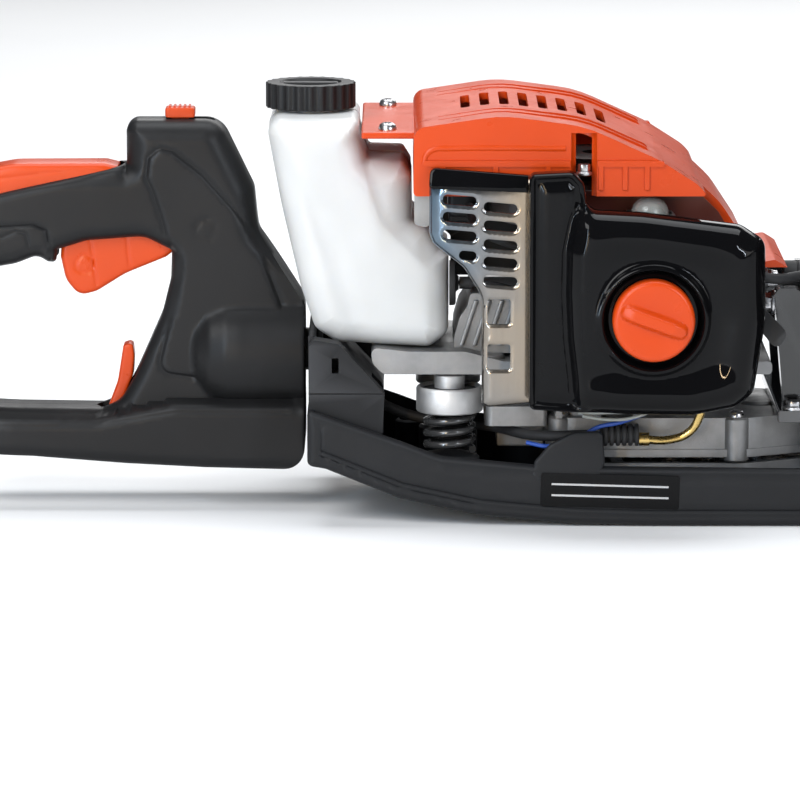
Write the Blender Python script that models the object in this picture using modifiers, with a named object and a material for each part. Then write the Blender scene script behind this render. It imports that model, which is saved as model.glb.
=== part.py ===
"""A petrol hedge trimmer: rotating rear handle, sprung hull, two-stroke engine with a vertical crank, and
two blades that move against each other.

Helpers take millimetres. X runs forward to the blade tips and is measured from the joint between the rear
handle and the hull, Y is to the left and Z is up from the ground. The root empty moves the whole machine so
that its origin is the centre of its bounding box, at ground level.
"""

from math import atan2, ceil, cos, hypot, pi, radians, sin, tan

import bmesh
import bpy
from mathutils import Matrix, Vector

MM = 0.001
GAP = 0.3  # between neighbouring pieces
WALL = 2.6  # plastic casings
ARC_STEP = 38.0  # degrees per segment of a rounded corner

# Overall
REAR_END = -195.0
BLADE_TIP = 805.0
SHIFT = -(REAR_END + BLADE_TIP) / 2

# Rear handle
HANDLE_AXIS_Z = 72.5
GRIP_HALF = 17.0
SKIRT_HALF = 26.0
BARREL_R = 28.0
SPIGOT_R = 10.0
TRIGGER_PIVOT = (-66.0, 124.0)
LOCKOUT_PIVOT = (-90.0, 156.0)
LOCK_PIVOT = (-90.0, 38.0)

# Hull and its springs
HULL_HALF = 65.0
HULL_FRONT = 296.0
REAR_SPRING = (66.7, 40.0)
FRONT_SPRING = (252.0, 44.0)
COIL_R = 10.75
WIRE_R = 1.75

# Engine
CRANK_X = 136.0
BORE_Z = 105.0
CRANK_THROW = 12.0
ROD_LENGTH = 38.0
PISTON_PIN_X = CRANK_X + CRANK_THROW + ROD_LENGTH
CROWN_X = PISTON_PIN_X + 8
SKIRT_X = PISTON_PIN_X - 8
WEB_R = 17.5
ROD_SWING_HALF = 22.5
CYLINDER_BASE = 168.3
BORE_END = 196.5
PORT = (178.0, 99.0)
FIN_T = 2.0

# Gearbox and blades
GEAR_MODULE = 2.0
PINION_TEETH = 7
CAM_TEETH = 29
CAM_X = CRANK_X + GEAR_MODULE * (PINION_TEETH + CAM_TEETH) / 2
ECCENTRIC = 8.0
BLADE_T = 2.1
UPPER_BLADE_Z = 18.4
LOWER_BLADE_Z = 15.9
TOOTH_PITCH = 35.0
TEETH = 14
TEETH_START = 300.0
BLADE_HALF = 37.5
SPINE_HALF = 17.0
GUIDE_POSTS = [320.0 + 88.0 * k for k in range(6)]
POST_R = 3.5
SLOT_SPARE = 6.4  # what the flat-sided ends of a slot take from its length

# Covers
KNOB = (158.7, 101.1)
PANEL_Y = -82.0
COVER_FACE_Y = -97.0
STARTER_HALF = 74.0
NOSE_HALF = 45.0


for old in list(bpy.data.objects):
    bpy.data.objects.remove(old, do_unlink=True)

machine = bpy.data.collections.new("hedge_trimmer")
cutters = bpy.data.collections.new("cutters")
for group in (machine, cutters):
    bpy.context.scene.collection.children.link(group)
root = bpy.data.objects.new("hedge_trimmer_origin", None)
root.location = (SHIFT * MM, 0, 0)
machine.objects.link(root)


# ---------------------------------------------------------------- materials

def material(name, colour, roughness, metallic=0.0, transmission=0.0):
    made = bpy.data.materials.new(name)
    made.use_nodes = True
    shader = made.node_tree.nodes["Principled BSDF"]
    shader.inputs["Base Color"].default_value = (*colour, 1)
    shader.inputs["Roughness"].default_value = roughness
    shader.inputs["Metallic"].default_value = metallic
    shader.inputs["Transmission Weight"].default_value = transmission
    made.diffuse_color = (*colour, 1)
    return made


SATIN_BLACK = material("satin_black_plastic", (0.020, 0.020, 0.022), 0.45)
GLOSS_BLACK = material("gloss_black_plastic", (0.010, 0.010, 0.012), 0.12)
HULL_GREY = material("hull_grey_plastic", (0.035, 0.036, 0.040), 0.55)
ORANGE = material("orange_plastic", (0.80, 0.16, 0.03), 0.30)
TANK_WHITE = material("tank_white_plastic", (0.78, 0.77, 0.72), 0.40, transmission=0.3)
BULB_CLEAR = material("primer_clear_plastic", (0.70, 0.72, 0.70), 0.25, transmission=0.5)
CAST_ALLOY = material("cast_aluminium", (0.55, 0.55, 0.55), 0.50, 1.0)
STEEL = material("steel", (0.50, 0.50, 0.51), 0.30, 1.0)
DARK_STEEL = material("black_painted_steel", (0.02, 0.02, 0.02), 0.25, 0.2)
BLADE_STEEL = material("blade_steel", (0.62, 0.62, 0.63), 0.25, 1.0)
ZINC_YELLOW = material("yellow_zinc", (0.65, 0.50, 0.20), 0.35, 1.0)
RUBBER = material("black_rubber", (0.015, 0.015, 0.015), 0.80)
FOAM = material("filter_felt", (0.55, 0.50, 0.40), 0.95)
ROPE = material("starter_rope", (0.60, 0.60, 0.58), 0.85)


# ------------------------------------------------------------------ helpers

def add(name, mesh, look=None):
    piece = bpy.data.objects.new(name, mesh)
    piece.parent = root
    if look is None:
        cutters.objects.link(piece)
        piece.hide_render = True
        piece.display_type = "WIRE"
    else:
        machine.objects.link(piece)
        mesh.materials.clear()
        mesh.materials.append(look)
    return piece


def mesh_of(shape, name):
    """A new mesh from a bmesh in millimetres, its faces pointing out."""
    bmesh.ops.remove_doubles(shape, verts=shape.verts, dist=1e-4)
    bmesh.ops.recalc_face_normals(shape, faces=shape.faces)
    mesh = bpy.data.meshes.new(name)
    shape.to_mesh(mesh)
    shape.free()
    mesh.transform(Matrix.Scale(MM, 4))
    return mesh


def corner_turns(corners):
    """For each corner: its neighbours' directions and whether the outline turns left there."""
    for i, (x, y, radius) in enumerate(corners):
        before = Vector(corners[i - 1][:2]) - Vector((x, y))
        after = Vector(corners[(i + 1) % len(corners)][:2]) - Vector((x, y))
        yield Vector((x, y)), radius, before, after


def area(corners):
    ends = corners[1:] + corners[:1]
    return sum(a[0] * b[1] - b[0] * a[1] for a, b in zip(corners, ends)) / 2


def rounded(corners, step=ARC_STEP):
    """Points of an outline whose corners are (x, y, radius)."""
    points = []
    for corner, radius, before, after in corner_turns(corners):
        angle = before.angle(after)
        if radius <= 0 or angle > pi - 0.02:
            points.append(tuple(corner))
            continue
        reach = min(radius / tan(angle / 2), 0.48 * before.length, 0.48 * after.length)
        radius = reach * tan(angle / 2)
        middle = corner + (before.normalized() + after.normalized()).normalized() * (radius / sin(angle / 2))
        first = corner + before.normalized() * reach - middle
        last = corner + after.normalized() * reach - middle
        turn = first.angle_signed(last)
        count = max(1, ceil(abs(turn) / radians(step)))
        for k in range(count + 1):
            spoke = first.copy()
            spoke.rotate(Matrix.Rotation(-turn * k / count, 2))
            points.append(tuple(middle + spoke))
    return points


def offset(corners, distance):
    """The outline moved inwards by a distance, or outwards by a negative one."""
    side = 1 if area(corners) > 0 else -1
    moved = []
    for corner, radius, before, after in corner_turns(corners):
        back, ahead = before.normalized(), after.normalized()
        turn = back.cross(ahead)
        if abs(turn) < 1e-4:
            moved.append((*(corner + side * distance * Vector((back.y, -back.x))), radius))
            continue
        inward = -side * (back + ahead) / turn
        convex = -side * turn > 0
        new_radius = radius - distance if convex else radius + distance
        moved.append((*(corner + distance * inward), max(new_radius, 0.4)))
    return moved


def circle(x, y, radius, count=16):
    turns = [2 * pi * k / count for k in range(count)]
    return [(x + radius * cos(turn), y + radius * sin(turn)) for turn in turns]


def slot(x, y, length, width, tilt=0.0):
    """Corners of a slot with round ends, tilted by degrees."""
    across, along = width / 2, length / 2
    corners = []
    for a, b in ((-along, -across), (along, -across), (along, across), (-along, across)):
        angle = radians(tilt)
        corners.append((x + a * cos(angle) - b * sin(angle), y + a * sin(angle) + b * cos(angle), across))
    return corners


STAND = {
    "Z": Matrix.Identity(4),
    "Y": Matrix.Rotation(pi / 2, 4, "X"),
    "X": Matrix.Rotation(pi / 2, 4, "Z") @ Matrix.Rotation(pi / 2, 4, "X"),
}


def prism(name, corners, low, high, look=None, axis="Y", edge=0.0, holes=(), segments=1, step=ARC_STEP):
    """An outline carried from low to high along an axis. Y takes (x, z), Z takes (x, y), X takes (y, z)."""
    outline = bpy.data.curves.new(name, "CURVE")
    outline.dimensions = "2D"
    outline.fill_mode = "BOTH"
    outline.extrude = (high - low) / 2
    for loop in [corners, *holes]:
        points = rounded(loop, step) if len(loop[0]) == 3 else loop
        spline = outline.splines.new("POLY")
        spline.points.add(len(points) - 1)
        for point, (a, b) in zip(spline.points, points):
            point.co = (a, b, 0, 1)
        spline.use_cyclic_u = True
    flat = bpy.data.objects.new(name + "_outline", outline)
    bpy.context.scene.collection.objects.link(flat)
    bpy.context.view_layer.update()
    shape = bmesh.new()
    evaluated = flat.evaluated_get(bpy.context.evaluated_depsgraph_get())
    made = bpy.data.meshes.new_from_object(evaluated)
    shape.from_mesh(made)
    bpy.data.objects.remove(flat)
    middle = (low + high) / 2
    along = {"X": (middle, 0, 0), "Y": (0, middle, 0), "Z": (0, 0, middle)}[axis]
    bmesh.ops.transform(shape, matrix=Matrix.Translation(along) @ STAND[axis], verts=shape.verts)
    piece = add(name, mesh_of(shape, name), look)
    if edge:
        soften(piece, edge, segments)
    return piece


def soften(piece, width, segments=1):
    bevel = piece.modifiers.new("soft_edges", "BEVEL")
    bevel.width = width * MM
    bevel.segments = segments
    bevel.limit_method = "ANGLE"
    bevel.angle_limit = radians(50)
    return piece


def block(name, low, high, look=None, edge=0.0):
    shape = bmesh.new()
    bmesh.ops.create_cube(shape, size=1)
    size = [b - a for a, b in zip(low, high)]
    middle = [(a + b) / 2 for a, b in zip(low, high)]
    place = Matrix.Translation(middle) @ Matrix.Diagonal((*size, 1))
    bmesh.ops.transform(shape, matrix=place, verts=shape.verts)
    piece = add(name, mesh_of(shape, name), look)
    if edge:
        soften(piece, edge)
    return piece


TURN_TO = {
    "Z": Matrix.Identity(4),
    "X": Matrix.Rotation(pi / 2, 4, "Y"),
    "Y": Matrix.Rotation(-pi / 2, 4, "X"),
}


def rod(name, start, length, radius, look=None, axis="Z", segments=16, end_radius=None):
    """A cylinder, or a cone, from a start point along an axis."""
    shape = bmesh.new()
    top = radius if end_radius is None else end_radius
    bmesh.ops.create_cone(shape, cap_ends=True, segments=segments, radius1=radius, radius2=top, depth=length)
    lift = Matrix.Translation((0, 0, length / 2))
    bmesh.ops.transform(
        shape, matrix=Matrix.Translation(start) @ TURN_TO[axis] @ lift, verts=shape.verts
    )
    return add(name, mesh_of(shape, name), look)


def turned(name, profile, centre, look=None, axis="Z", segments=18, closed=False):
    """A profile of (radius, height) turned about an axis, its outer side running top to bottom."""
    shape = bmesh.new()
    line = [shape.verts.new((radius * MM, 0, height * MM)) for radius, height in profile]
    pairs = list(zip(line, line[1:]))
    if closed:
        pairs.append((line[-1], line[0]))
    for pair in pairs:
        shape.edges.new(pair)
    mesh = bpy.data.meshes.new(name)
    shape.to_mesh(mesh)
    shape.free()
    piece = add(name, mesh, look)
    piece.matrix_local = Matrix.Translation(Vector(centre) * MM) @ TURN_TO[axis]
    screw = piece.modifiers.new("turned", "SCREW")
    screw.steps = segments
    screw.render_steps = segments
    screw.use_merge_vertices = True
    screw.merge_threshold = 1e-5
    return piece


def tube(name, points, radius, look=None, sides=2, smooth=True, resolution=4):
    """A round bar along a line of points."""
    line = bpy.data.curves.new(name, "CURVE")
    line.dimensions = "3D"
    line.bevel_depth = radius
    line.bevel_resolution = sides
    line.use_fill_caps = True
    line.resolution_u = resolution
    if smooth:
        spline = line.splines.new("BEZIER")
        spline.bezier_points.add(len(points) - 1)
        for knot, point in zip(spline.bezier_points, points):
            knot.co = point
            knot.handle_left_type = "AUTO"
            knot.handle_right_type = "AUTO"
    else:
        spline = line.splines.new("POLY")
        spline.points.add(len(points) - 1)
        for knot, point in zip(spline.points, points):
            knot.co = (*point, 1)
    bar = bpy.data.objects.new(name + "_line", line)
    bpy.context.scene.collection.objects.link(bar)
    bpy.context.view_layer.update()
    shape = bmesh.new()
    made = bpy.data.meshes.new_from_object(bar.evaluated_get(bpy.context.evaluated_depsgraph_get()))
    shape.from_mesh(made)
    bpy.data.objects.remove(bar)
    return add(name, mesh_of(shape, name), look)


def combine(piece, others, operation, solver):
    for other in others:
        step = piece.modifiers.new(operation.lower(), "BOOLEAN")
        step.operation = operation
        step.solver = solver
        step.object = other
    return piece


def join(piece, *others, solver="EXACT"):
    return combine(piece, others, "UNION", solver)


def cut(piece, *others, solver="EXACT"):
    return combine(piece, others, "DIFFERENCE", solver)


def pivot(piece, point):
    """Puts the piece's origin at a point of the machine, on its joint's axis."""
    piece.data.transform(Matrix.Translation(-Vector(point) * MM))
    piece.location = Vector(point) * MM
    return piece


def spring_line(x, y, low, high, turns, radius, per_turn=8):
    count = int(turns * per_turn)
    return [
        (
            x + radius * cos(2 * pi * k / per_turn),
            y + radius * sin(2 * pi * k / per_turn),
            low + (high - low) * k / count,
        )
        for k in range(count + 1)
    ]


# -------------------------------------------------------------- rear handle

HANDLE_OUTER = [
    (-0.9, 18.4, 6), (-0.9, 96, 14), (-22.5, 130, 10), (-24.5, 150, 10), (-40, 182, 12),
    (-84, 182, 6), (-84, 161.2, 1), (-136, 149.5, 30), (-181, 139, 22), (REAR_END, 112, 22),
    (REAR_END + 2, 52, 24), (-172, 27, 16), (-112, 24.5, 30), (-48, 20.3, 30),
]
HANDLE_HOLE = [
    (-63, 121, 2), (-63.5, 108, 12), (-68, 90, 30), (-80.5, 61.9, 30), (-87.5, 49.5, 12), (-96, 45.8, 4),
    (-136, 46.4, 30), (-168, 48, 14), (-178, 64, 14), (-177, 98, 14), (-160, 110.5, 14), (-136, 114.6, 20),
    (-126, 118.5, 6), (-117.6, 113.8, 1.5), (-117, 121.2, 1), (-103, 125.5, 12), (-76, 127.5, 14),
]
SKIRT = [
    (-0.9, 17.6, 6), (-0.9, 50.5, 2), (-62, 51, 8), (-98, 43.6, 6), (-166, 44.2, 6), (-172, 30, 6),
    (-128, 26, 6), (-85, 21.6, 20), (-48, 19.6, 20),
]
BARREL = [(0, -57), (12, -55), (20, -50), (25.5, -42), (BARREL_R, -32), (BARREL_R, -0.9), (0, -0.9)]


def barrel(name, inset):
    """The bulge round the handle's pivot: a profile of (radius, x) turned about the pivot axis."""
    profile = [(max(radius - inset, 0), x + (inset if x < -20 else -inset)) for radius, x in BARREL]
    return turned(name, profile[::-1], (0, 0, HANDLE_AXIS_Z), axis="X")


def handle_half(name, side):
    """One moulded half of the rear handle; side is -1 for the right half and 1 for the left."""
    shell = prism(name, HANDLE_OUTER, -GRIP_HALF, GRIP_HALF, SATIN_BLACK, edge=4, holes=[HANDLE_HOLE])
    skirt = prism(name + "_skirt", SKIRT, -SKIRT_HALF, SKIRT_HALF, edge=4)
    join(shell, skirt, barrel(name + "_barrel", 0))

    inner = prism(
        name + "_hollow", offset(HANDLE_OUTER, WALL), -(GRIP_HALF - WALL), GRIP_HALF - WALL,
        holes=[offset(HANDLE_HOLE, -WALL)],
    )
    inner_skirt = prism(
        name + "_skirt_hollow", offset(SKIRT, WALL - GAP), -(SKIRT_HALF - WALL), SKIRT_HALF - WALL
    )
    inner_barrel = barrel(name + "_barrel_hollow", WALL + GAP)
    bearing_hole = rod(name + "_bearing_hole", (-6, 0, HANDLE_AXIS_Z), 12, SPIGOT_R + 0.4, axis="X")
    trigger_slot = block(name + "_trigger_slot", (-116.4, -9.4, 110), (-59.5, 9.4, 136))
    lockout_slot = block(name + "_lockout_slot", (-168.3, -12.4, 130), (-86, 12.4, 166))
    lock_slot = prism(
        name + "_lock_slot",
        [(-99, 33, 0), (-99, 48, 0), (-91, 62, 0), (-89, 80, 0), (-79.6, 80, 0), (-79.4, 62, 0),
         (-83, 50, 0), (-83, 33, 0)],
        -6.6, 6.6,
    )
    switch_slot = block(name + "_switch_slot", (-64, -3, 176), (-46, 3, 184))
    seam, beyond = side * GAP / 2, -side * 60
    other_side = block(name + "_other_side", (-220, min(seam, beyond), 0), (20, max(seam, beyond), 210))
    hollows = (inner, inner_skirt, inner_barrel)
    slots = (bearing_hole, trigger_slot, lockout_slot, lock_slot, switch_slot)
    cut(shell, *hollows, *slots, other_side, solver="MANIFOLD")
    return pivot(shell, (-0.9, 0, HANDLE_AXIS_Z))


handle_half("rear_handle_right", -1)
handle_half("rear_handle_left", 1)

trigger = prism(
    "throttle_trigger",
    [(-115, 121.8, 2), (-115, 117.5, 1), (-112.5, 107, 3), (-107.5, 100.2, 4), (-101, 100.2, 6),
     (-85.1, 109, 20), (-66, 117.2, 3), (-62.3, 120, 2), (-62.6, 126.5, 3), (-75, 129.5, 5),
     (-104, 129, 5), (-113, 126, 3)],
    -9, 9, ORANGE, edge=1.2, holes=[circle(*TRIGGER_PIVOT, 2.0, 12)],
)
pivot(trigger, (TRIGGER_PIVOT[0], 0, TRIGGER_PIVOT[1]))

lockout = prism(
    "throttle_lockout",
    [(-87.8, 160.3, 1), (-94, 161.8, 6), (-136, 161.6, 30), (-158, 157.5, 8), (-167.5, 146, 4),
     (-167, 136.5, 3), (-140, 141, 20), (-100, 150.8, 10), (-86.8, 152.5, 3)],
    -12, 12, ORANGE, edge=1.5, holes=[circle(*LOCKOUT_PIVOT, 2.0, 12)],
)
pivot(lockout, (LOCKOUT_PIVOT[0], 0, LOCKOUT_PIVOT[1]))

lock_lever = prism(
    "handle_lock_lever",
    [(-94, 45, 2), (-89.2, 57.7, 20), (-86.4, 75, 1.5), (-82, 76.4, 2), (-81.2, 70, 3), (-81.8, 61, 8),
     (-85.8, 51, 8), (-87.2, 45.5, 2), (-85.5, 34, 3), (-94.5, 34, 3)],
    -6, 6, ORANGE, edge=1.0, holes=[circle(*LOCK_PIVOT, 1.8, 12)],
)
pivot(lock_lever, (LOCK_PIVOT[0], 0, LOCK_PIVOT[1]))

stop_switch = block("stop_switch", (-66, -5, 182.4), (-52, 5, 188), ORANGE, edge=1.2)
join(stop_switch, block("stop_switch_stem", (-63, -2.5, 174), (-55, 2.5, 183)))
pivot(stop_switch, (-59, 0, 182.4))


# --------------------------------------------------------------------- hull

HULL_SIDE = [
    (0.9, 28, 3), (9.2, 26.6, 3), (43.7, 12.6, 30), (80, 4.8, 40), (124, 0.8, 40), (160, 0, 30),
    (HULL_FRONT, 0, 8), (HULL_FRONT, 26, 3), (110, 28.1, 20), (62, 32.7, 20), (43.7, 39.7, 14),
    (6.9, 52.4, 4), (0.9, 54, 2),
]
HULL_CAVITY = [
    (4, 31, 3), (10, 29.6, 3), (44.5, 15.6, 30), (80.5, 7.8, 40), (124.5, 3.8, 40), (160, 3, 30),
    (HULL_FRONT - 3, 3, 5), (HULL_FRONT - 3, 100, 0), (4, 100, 0),
]
TOWER = [
    (1.2, 30, 0), (1.2, 85.5, 1), (4.5, 85.5, 1), (4.5, 77.5, 0), (14, 77.5, 5), (36, 54, 4), (36, 40, 0),
    (20, 30, 0),
]
CHEEK = [(1.7, 31, 0), (1.7, 86.2, 3), (15.5, 84, 4), (36.6, 60.5, 3), (35, 31, 0)]
FIN = [(104, 20, 0), (105.8, 30.4, 2), (112.7, 38.3, 8), (124, 44.2, 10), (137, 44.4, 3), (138.4, 20, 0)]
SPRING_POSTS = ((*REAR_SPRING, 10, 29.5), (*FRONT_SPRING, 1.5, 21.5))
SPRING_POST_R = 14.0

hull = prism("hull", HULL_SIDE, -HULL_HALF, HULL_HALF, HULL_GREY, edge=3)
cut(hull, prism("hull_hollow", HULL_CAVITY, -(HULL_HALF - 3), HULL_HALF - 3))
join(hull, prism("hull_tower", TOWER, -42, 42, edge=2))
for side in (-1, 1):
    span = sorted((side * 46, side * 57))
    join(hull, prism(f"hull_cheek_{side}", CHEEK, *span, edge=2))
    for x, y, low, high in SPRING_POSTS:
        join(hull, rod(f"hull_post_{x}_{side}", (x, side * y, low), high - low, SPRING_POST_R))
join(hull, prism("hull_fin", FIN, -HULL_HALF + 0.2, -HULL_HALF + 3.4))
cut(
    hull,
    prism(
        "hull_tower_hollow", [(4, 26, 0), (4, 74, 2), (13, 74, 3), (32.5, 53, 3), (32.5, 26, 0)], -38, 38
    ),
    rod("hull_bearing_hole", (-4, 0, HANDLE_AXIS_Z), 9.5, SPIGOT_R + 0.4, axis="X"),
    rod("hull_bearing_seat", (4.5, 0, HANDLE_AXIS_Z), 8, 13.6, axis="X"),
    block("hull_cable_way", (20, -20, 36), (44, 6, 60)),
    block("hull_blade_opening", (HULL_FRONT - 8, -46, 9), (HULL_FRONT + 4, 46, 40)),
)

turned(
    "handle_bearing",
    [(6.5, 7.4), (12.5, 7.4), (12.5, 4.9), (SPIGOT_R, 4.9), (SPIGOT_R, -4.2), (18, -4.2), (18, -7.2),
     (SPIGOT_R, -7.2), (SPIGOT_R, -30), (6.5, -30)],
    (0, 0, HANDLE_AXIS_Z), SATIN_BLACK, axis="X", closed=True,
)

for end, (x, y), low, high, turns in (
    ("rear", REAR_SPRING, 31.6, 56.2, 4.5), ("front", FRONT_SPRING, 23.6, 45.2, 4)
):
    for side, word in ((-1, "right"), (1, "left")):
        line = spring_line(x, side * y, low, high, turns, COIL_R)
        tube(f"av_spring_{end}_{word}", line, WIRE_R, DARK_STEEL, sides=1, smooth=False)
for side, word in ((-1, "right"), (1, "left")):
    turned(
        f"av_cup_{word}",
        [(0, 67.1), (7, 67.1), (7, 62), (15.5, 62), (15.5, 50), (13.5, 50), (13.5, 58.5), (0, 58.5)],
        (REAR_SPRING[0], side * REAR_SPRING[1], 0), CAST_ALLOY,
    )


# ------------------------------------------------------ gearbox and cutters

def gear(name, centre, teeth, low, high, phase, look):
    """A spur gear with straight-sided teeth and a little backlash."""
    pitch_r = GEAR_MODULE * teeth / 2
    root_r, tip_r = pitch_r - 1.3 * GEAR_MODULE, pitch_r + 0.85 * GEAR_MODULE
    step = 2 * pi / teeth
    points = []
    for k in range(teeth):
        for radius, share in ((root_r, -0.30), (tip_r, -0.12), (tip_r, 0.12), (root_r, 0.30)):
            angle = step * (k + share) + phase
            points.append((centre[0] + radius * cos(angle), centre[1] + radius * sin(angle)))
    return prism(name, points, low, high, look, axis="Z")


GEARCASE = [(112, -45, 14), (205, -45, 14), (235, -30, 10), (235, 30, 10), (205, 45, 14), (112, 45, 14)]
gearcase = prism("gearcase", GEARCASE, 26, 47, CAST_ALLOY, axis="Z", edge=2)
join(gearcase, rod("gearcase_bell", (CRANK_X, 0, 45), 66.7 - 45, 38, segments=32))
for x, y in ((118, -38), (118, 38), (200, -41), (200, 41)):
    join(gearcase, rod(f"gearcase_boss_{x}_{y}", (x, y, 28), 21, 6, segments=8))
cut(
    gearcase,
    prism("gearcase_hollow", offset(GEARCASE, 5), 20, 43, axis="Z"),
    rod("gearcase_bell_hollow", (CRANK_X, 0, 47.2), 22, 34, segments=32),
    rod("gearcase_bearing", (CRANK_X, 0, 40), 10, 5.5),
)

tray = prism("gearcase_cover", offset(GEARCASE, 1), 11, 25.7, CAST_ALLOY, axis="Z", edge=1.5)
cut(
    tray,
    prism("gearcase_cover_hollow", offset(GEARCASE, 4), 13.5, 30, axis="Z"),
    block("gearcase_cover_mouth", (220, -26, 14.5), (240, 26, 30)),
)

drum = turned(
    "clutch_drum",
    [(0, 51.9), (28.5, 51.9), (28.5, 64), (31.5, 64), (31.5, 49.4), (5, 49.4), (5, 40), (0, 40)],
    (CRANK_X, 0, 0), STEEL, segments=32,
)
join(drum, gear("clutch_pinion", (CRANK_X, 0), PINION_TEETH, 31, 41, 0, None))
turned(
    "clutch_shoes",
    [(26, 62.5), (26, 52.6), (6.4, 52.6), (6.4, 62.5)], (CRANK_X, 0, 0), CAST_ALLOY, closed=True, segments=24,
)

MESH_PHASE = pi + pi / CAM_TEETH
cam = gear("cam_gear", (CAM_X, 0), CAM_TEETH, 31, 38, MESH_PHASE, STEEL)
join(
    cam,
    rod("cam_shaft", (CAM_X, 0, 14.4), 42.4 - 14.4, 5, segments=12),
    rod("cam_upper_eccentric", (CAM_X, ECCENTRIC, 18.3), 32 - 18.3, 7, segments=16),
    rod("cam_lower_eccentric", (CAM_X, -ECCENTRIC, 15.7), 18.1 - 15.7, 7, segments=16),
)
pivot(cam, (CAM_X, 0, 31))


def blade_outline(shift):
    """One blade seen from above: a drive plate, a neck and a spine with teeth along both sides."""
    side = [(CAM_X - 29, 21), (CAM_X + 29, 21), (CAM_X + 40, SPINE_HALF), (TEETH_START - 12, SPINE_HALF)]
    for k in range(TEETH):
        x = TEETH_START + k * TOOTH_PITCH + shift
        for along, across in ((0, SPINE_HALF), (7.5, BLADE_HALF), (13, BLADE_HALF), (20.5, SPINE_HALF)):
            side.append((x + along, across))
    side.append((BLADE_TIP - 10, SPINE_HALF))
    side.append((BLADE_TIP, 9))
    return side + [(x, -y) for x, y in reversed(side)]


def blade(name, bottom, shift):
    window = [(CAM_X + a, b, 6) for a, b in ((-23.4, -15.4), (23.4, -15.4), (23.4, 15.4), (-23.4, 15.4))]
    openings = [window]
    for x in GUIDE_POSTS:
        openings.append(slot(x, 0, 2 * (POST_R + ECCENTRIC) + SLOT_SPARE, 2 * POST_R + 1.2))
    return prism(
        name, blade_outline(shift), bottom, bottom + BLADE_T, BLADE_STEEL, axis="Z", holes=openings, step=90
    )


blade("upper_blade", UPPER_BLADE_Z, 0)
blade("lower_blade", LOWER_BLADE_Z, 4)

bar = prism(
    "guide_bar",
    [(208, -14, 4), (BLADE_TIP - 8, -12, 8), (BLADE_TIP - 8, 12, 8), (208, 14, 4)],
    20.8, 24.8, STEEL, axis="Z",
)
for k, x in enumerate(GUIDE_POSTS):
    join(
        bar,
        rod(f"guide_post_{k}", (x, 0, 15), 8, POST_R, segments=8),
        rod(f"guide_washer_{k}", (x, 0, 14), 1.5, 8, segments=12),
    )


# ------------------------------------------------------------------- engine

ARM = [
    (30, 80.5, 2), (31, 73, 4), (36, 68, 3), (216, 68, 2), (216, 74, 2), (92, 74, 6), (74, 78.6, 6),
    (48, 78.6, 4),
]
lower_case = prism("crankcase_lower", ARM, -46, 46, CAST_ALLOY, edge=1.5)
join(
    lower_case,
    rod("lower_case_round", (CRANK_X, 0, 67.3), BORE_Z - GAP / 2 - 67.3, 31.6, segments=24),
    block("lower_case_face", (CRANK_X, -29.5, 70), (168, 29.5, BORE_Z - GAP / 2)),
)
upper_case = rod("crankcase_upper", (CRANK_X, 0, BORE_Z + GAP / 2), 26, 31.6, CAST_ALLOY, segments=24)
join(upper_case, block("upper_case_face", (CRANK_X, -29.5, BORE_Z + GAP / 2), (168, 29.5, 127)))
for case, word in ((lower_case, "lower"), (upper_case, "upper")):
    cut(
        case,
        rod(f"{word}_crank_chamber", (CRANK_X, 0, 80), 42, 26, segments=28),
        rod(f"{word}_crank_bore", (CRANK_X, 0, 60), 80, 6.5, segments=16),
        rod(f"{word}_throat", (150, 0, BORE_Z), 25, 17.3, axis="X", segments=20),
        block(f"{word}_rod_way", (145, -ROD_SWING_HALF, BORE_Z - 3.5), (165, ROD_SWING_HALF, BORE_Z + 3.5)),
    )

fins = []
for x, radius in ((194.5, 21), (188, 26), (181, 29), (174, 29)):
    fins += [(18.9, x + FIN_T), (radius, x + FIN_T), (radius, x), (18.9, x)]
cylinder = turned(
    "cylinder",
    [(5.3, 210), (12.5, 210), (12.5, 205), (18.9, 199.5), *fins, (19, CYLINDER_BASE), (17.2, CYLINDER_BASE),
     (17.2, BORE_END), (5.3, BORE_END)],
    (0, 0, BORE_Z), CAST_ALLOY, axis="X", closed=True, segments=16,
)
join(
    cylinder,
    block("cylinder_inlet", (168.5, -30, 89), (188, -17.8, 111)),
    block("cylinder_exhaust", (168.5, 17.8, 92), (190, 36, 114)),
    block("cylinder_flange", (CYLINDER_BASE, -26, 80), (172, 26, 117)),
)
cut(
    cylinder,
    rod("inlet_port", (PORT[0], -40, PORT[1]), 30, 7, axis="Y", segments=16),
    rod("exhaust_port", (PORT[0] + 1, 10, 103), 30, 7, axis="Y", segments=16),
    rod("cylinder_bore", (160, 0, BORE_Z), BORE_END - 160, 17.3, axis="X", segments=20),
)

piston = turned(
    "piston",
    [(0, CROWN_X), (16.6, CROWN_X), (16.6, SKIRT_X), (13.6, SKIRT_X), (13.6, CROWN_X - 2.6),
     (0, CROWN_X - 2.6)],
    (0, 0, BORE_Z), CAST_ALLOY, axis="X", segments=18,
)
cut(piston, rod("piston_pin_bore", (PISTON_PIN_X, 0, 80), 50, 3.6, segments=12))
rod("piston_pin", (PISTON_PIN_X, 0, BORE_Z - 15.5), 31, 3.2, STEEL, segments=12)
ROD_SIDE = [
    (CRANK_X + CRANK_THROW - 9, -9, 7), (CRANK_X + CRANK_THROW + 9, -9, 7), (PISTON_PIN_X - 8, -4, 5),
    (PISTON_PIN_X + 5, -5.5, 4.5), (PISTON_PIN_X + 5, 5.5, 4.5), (PISTON_PIN_X - 8, 4, 5),
    (CRANK_X + CRANK_THROW + 9, 9, 7), (CRANK_X + CRANK_THROW - 9, 9, 7),
]
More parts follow.
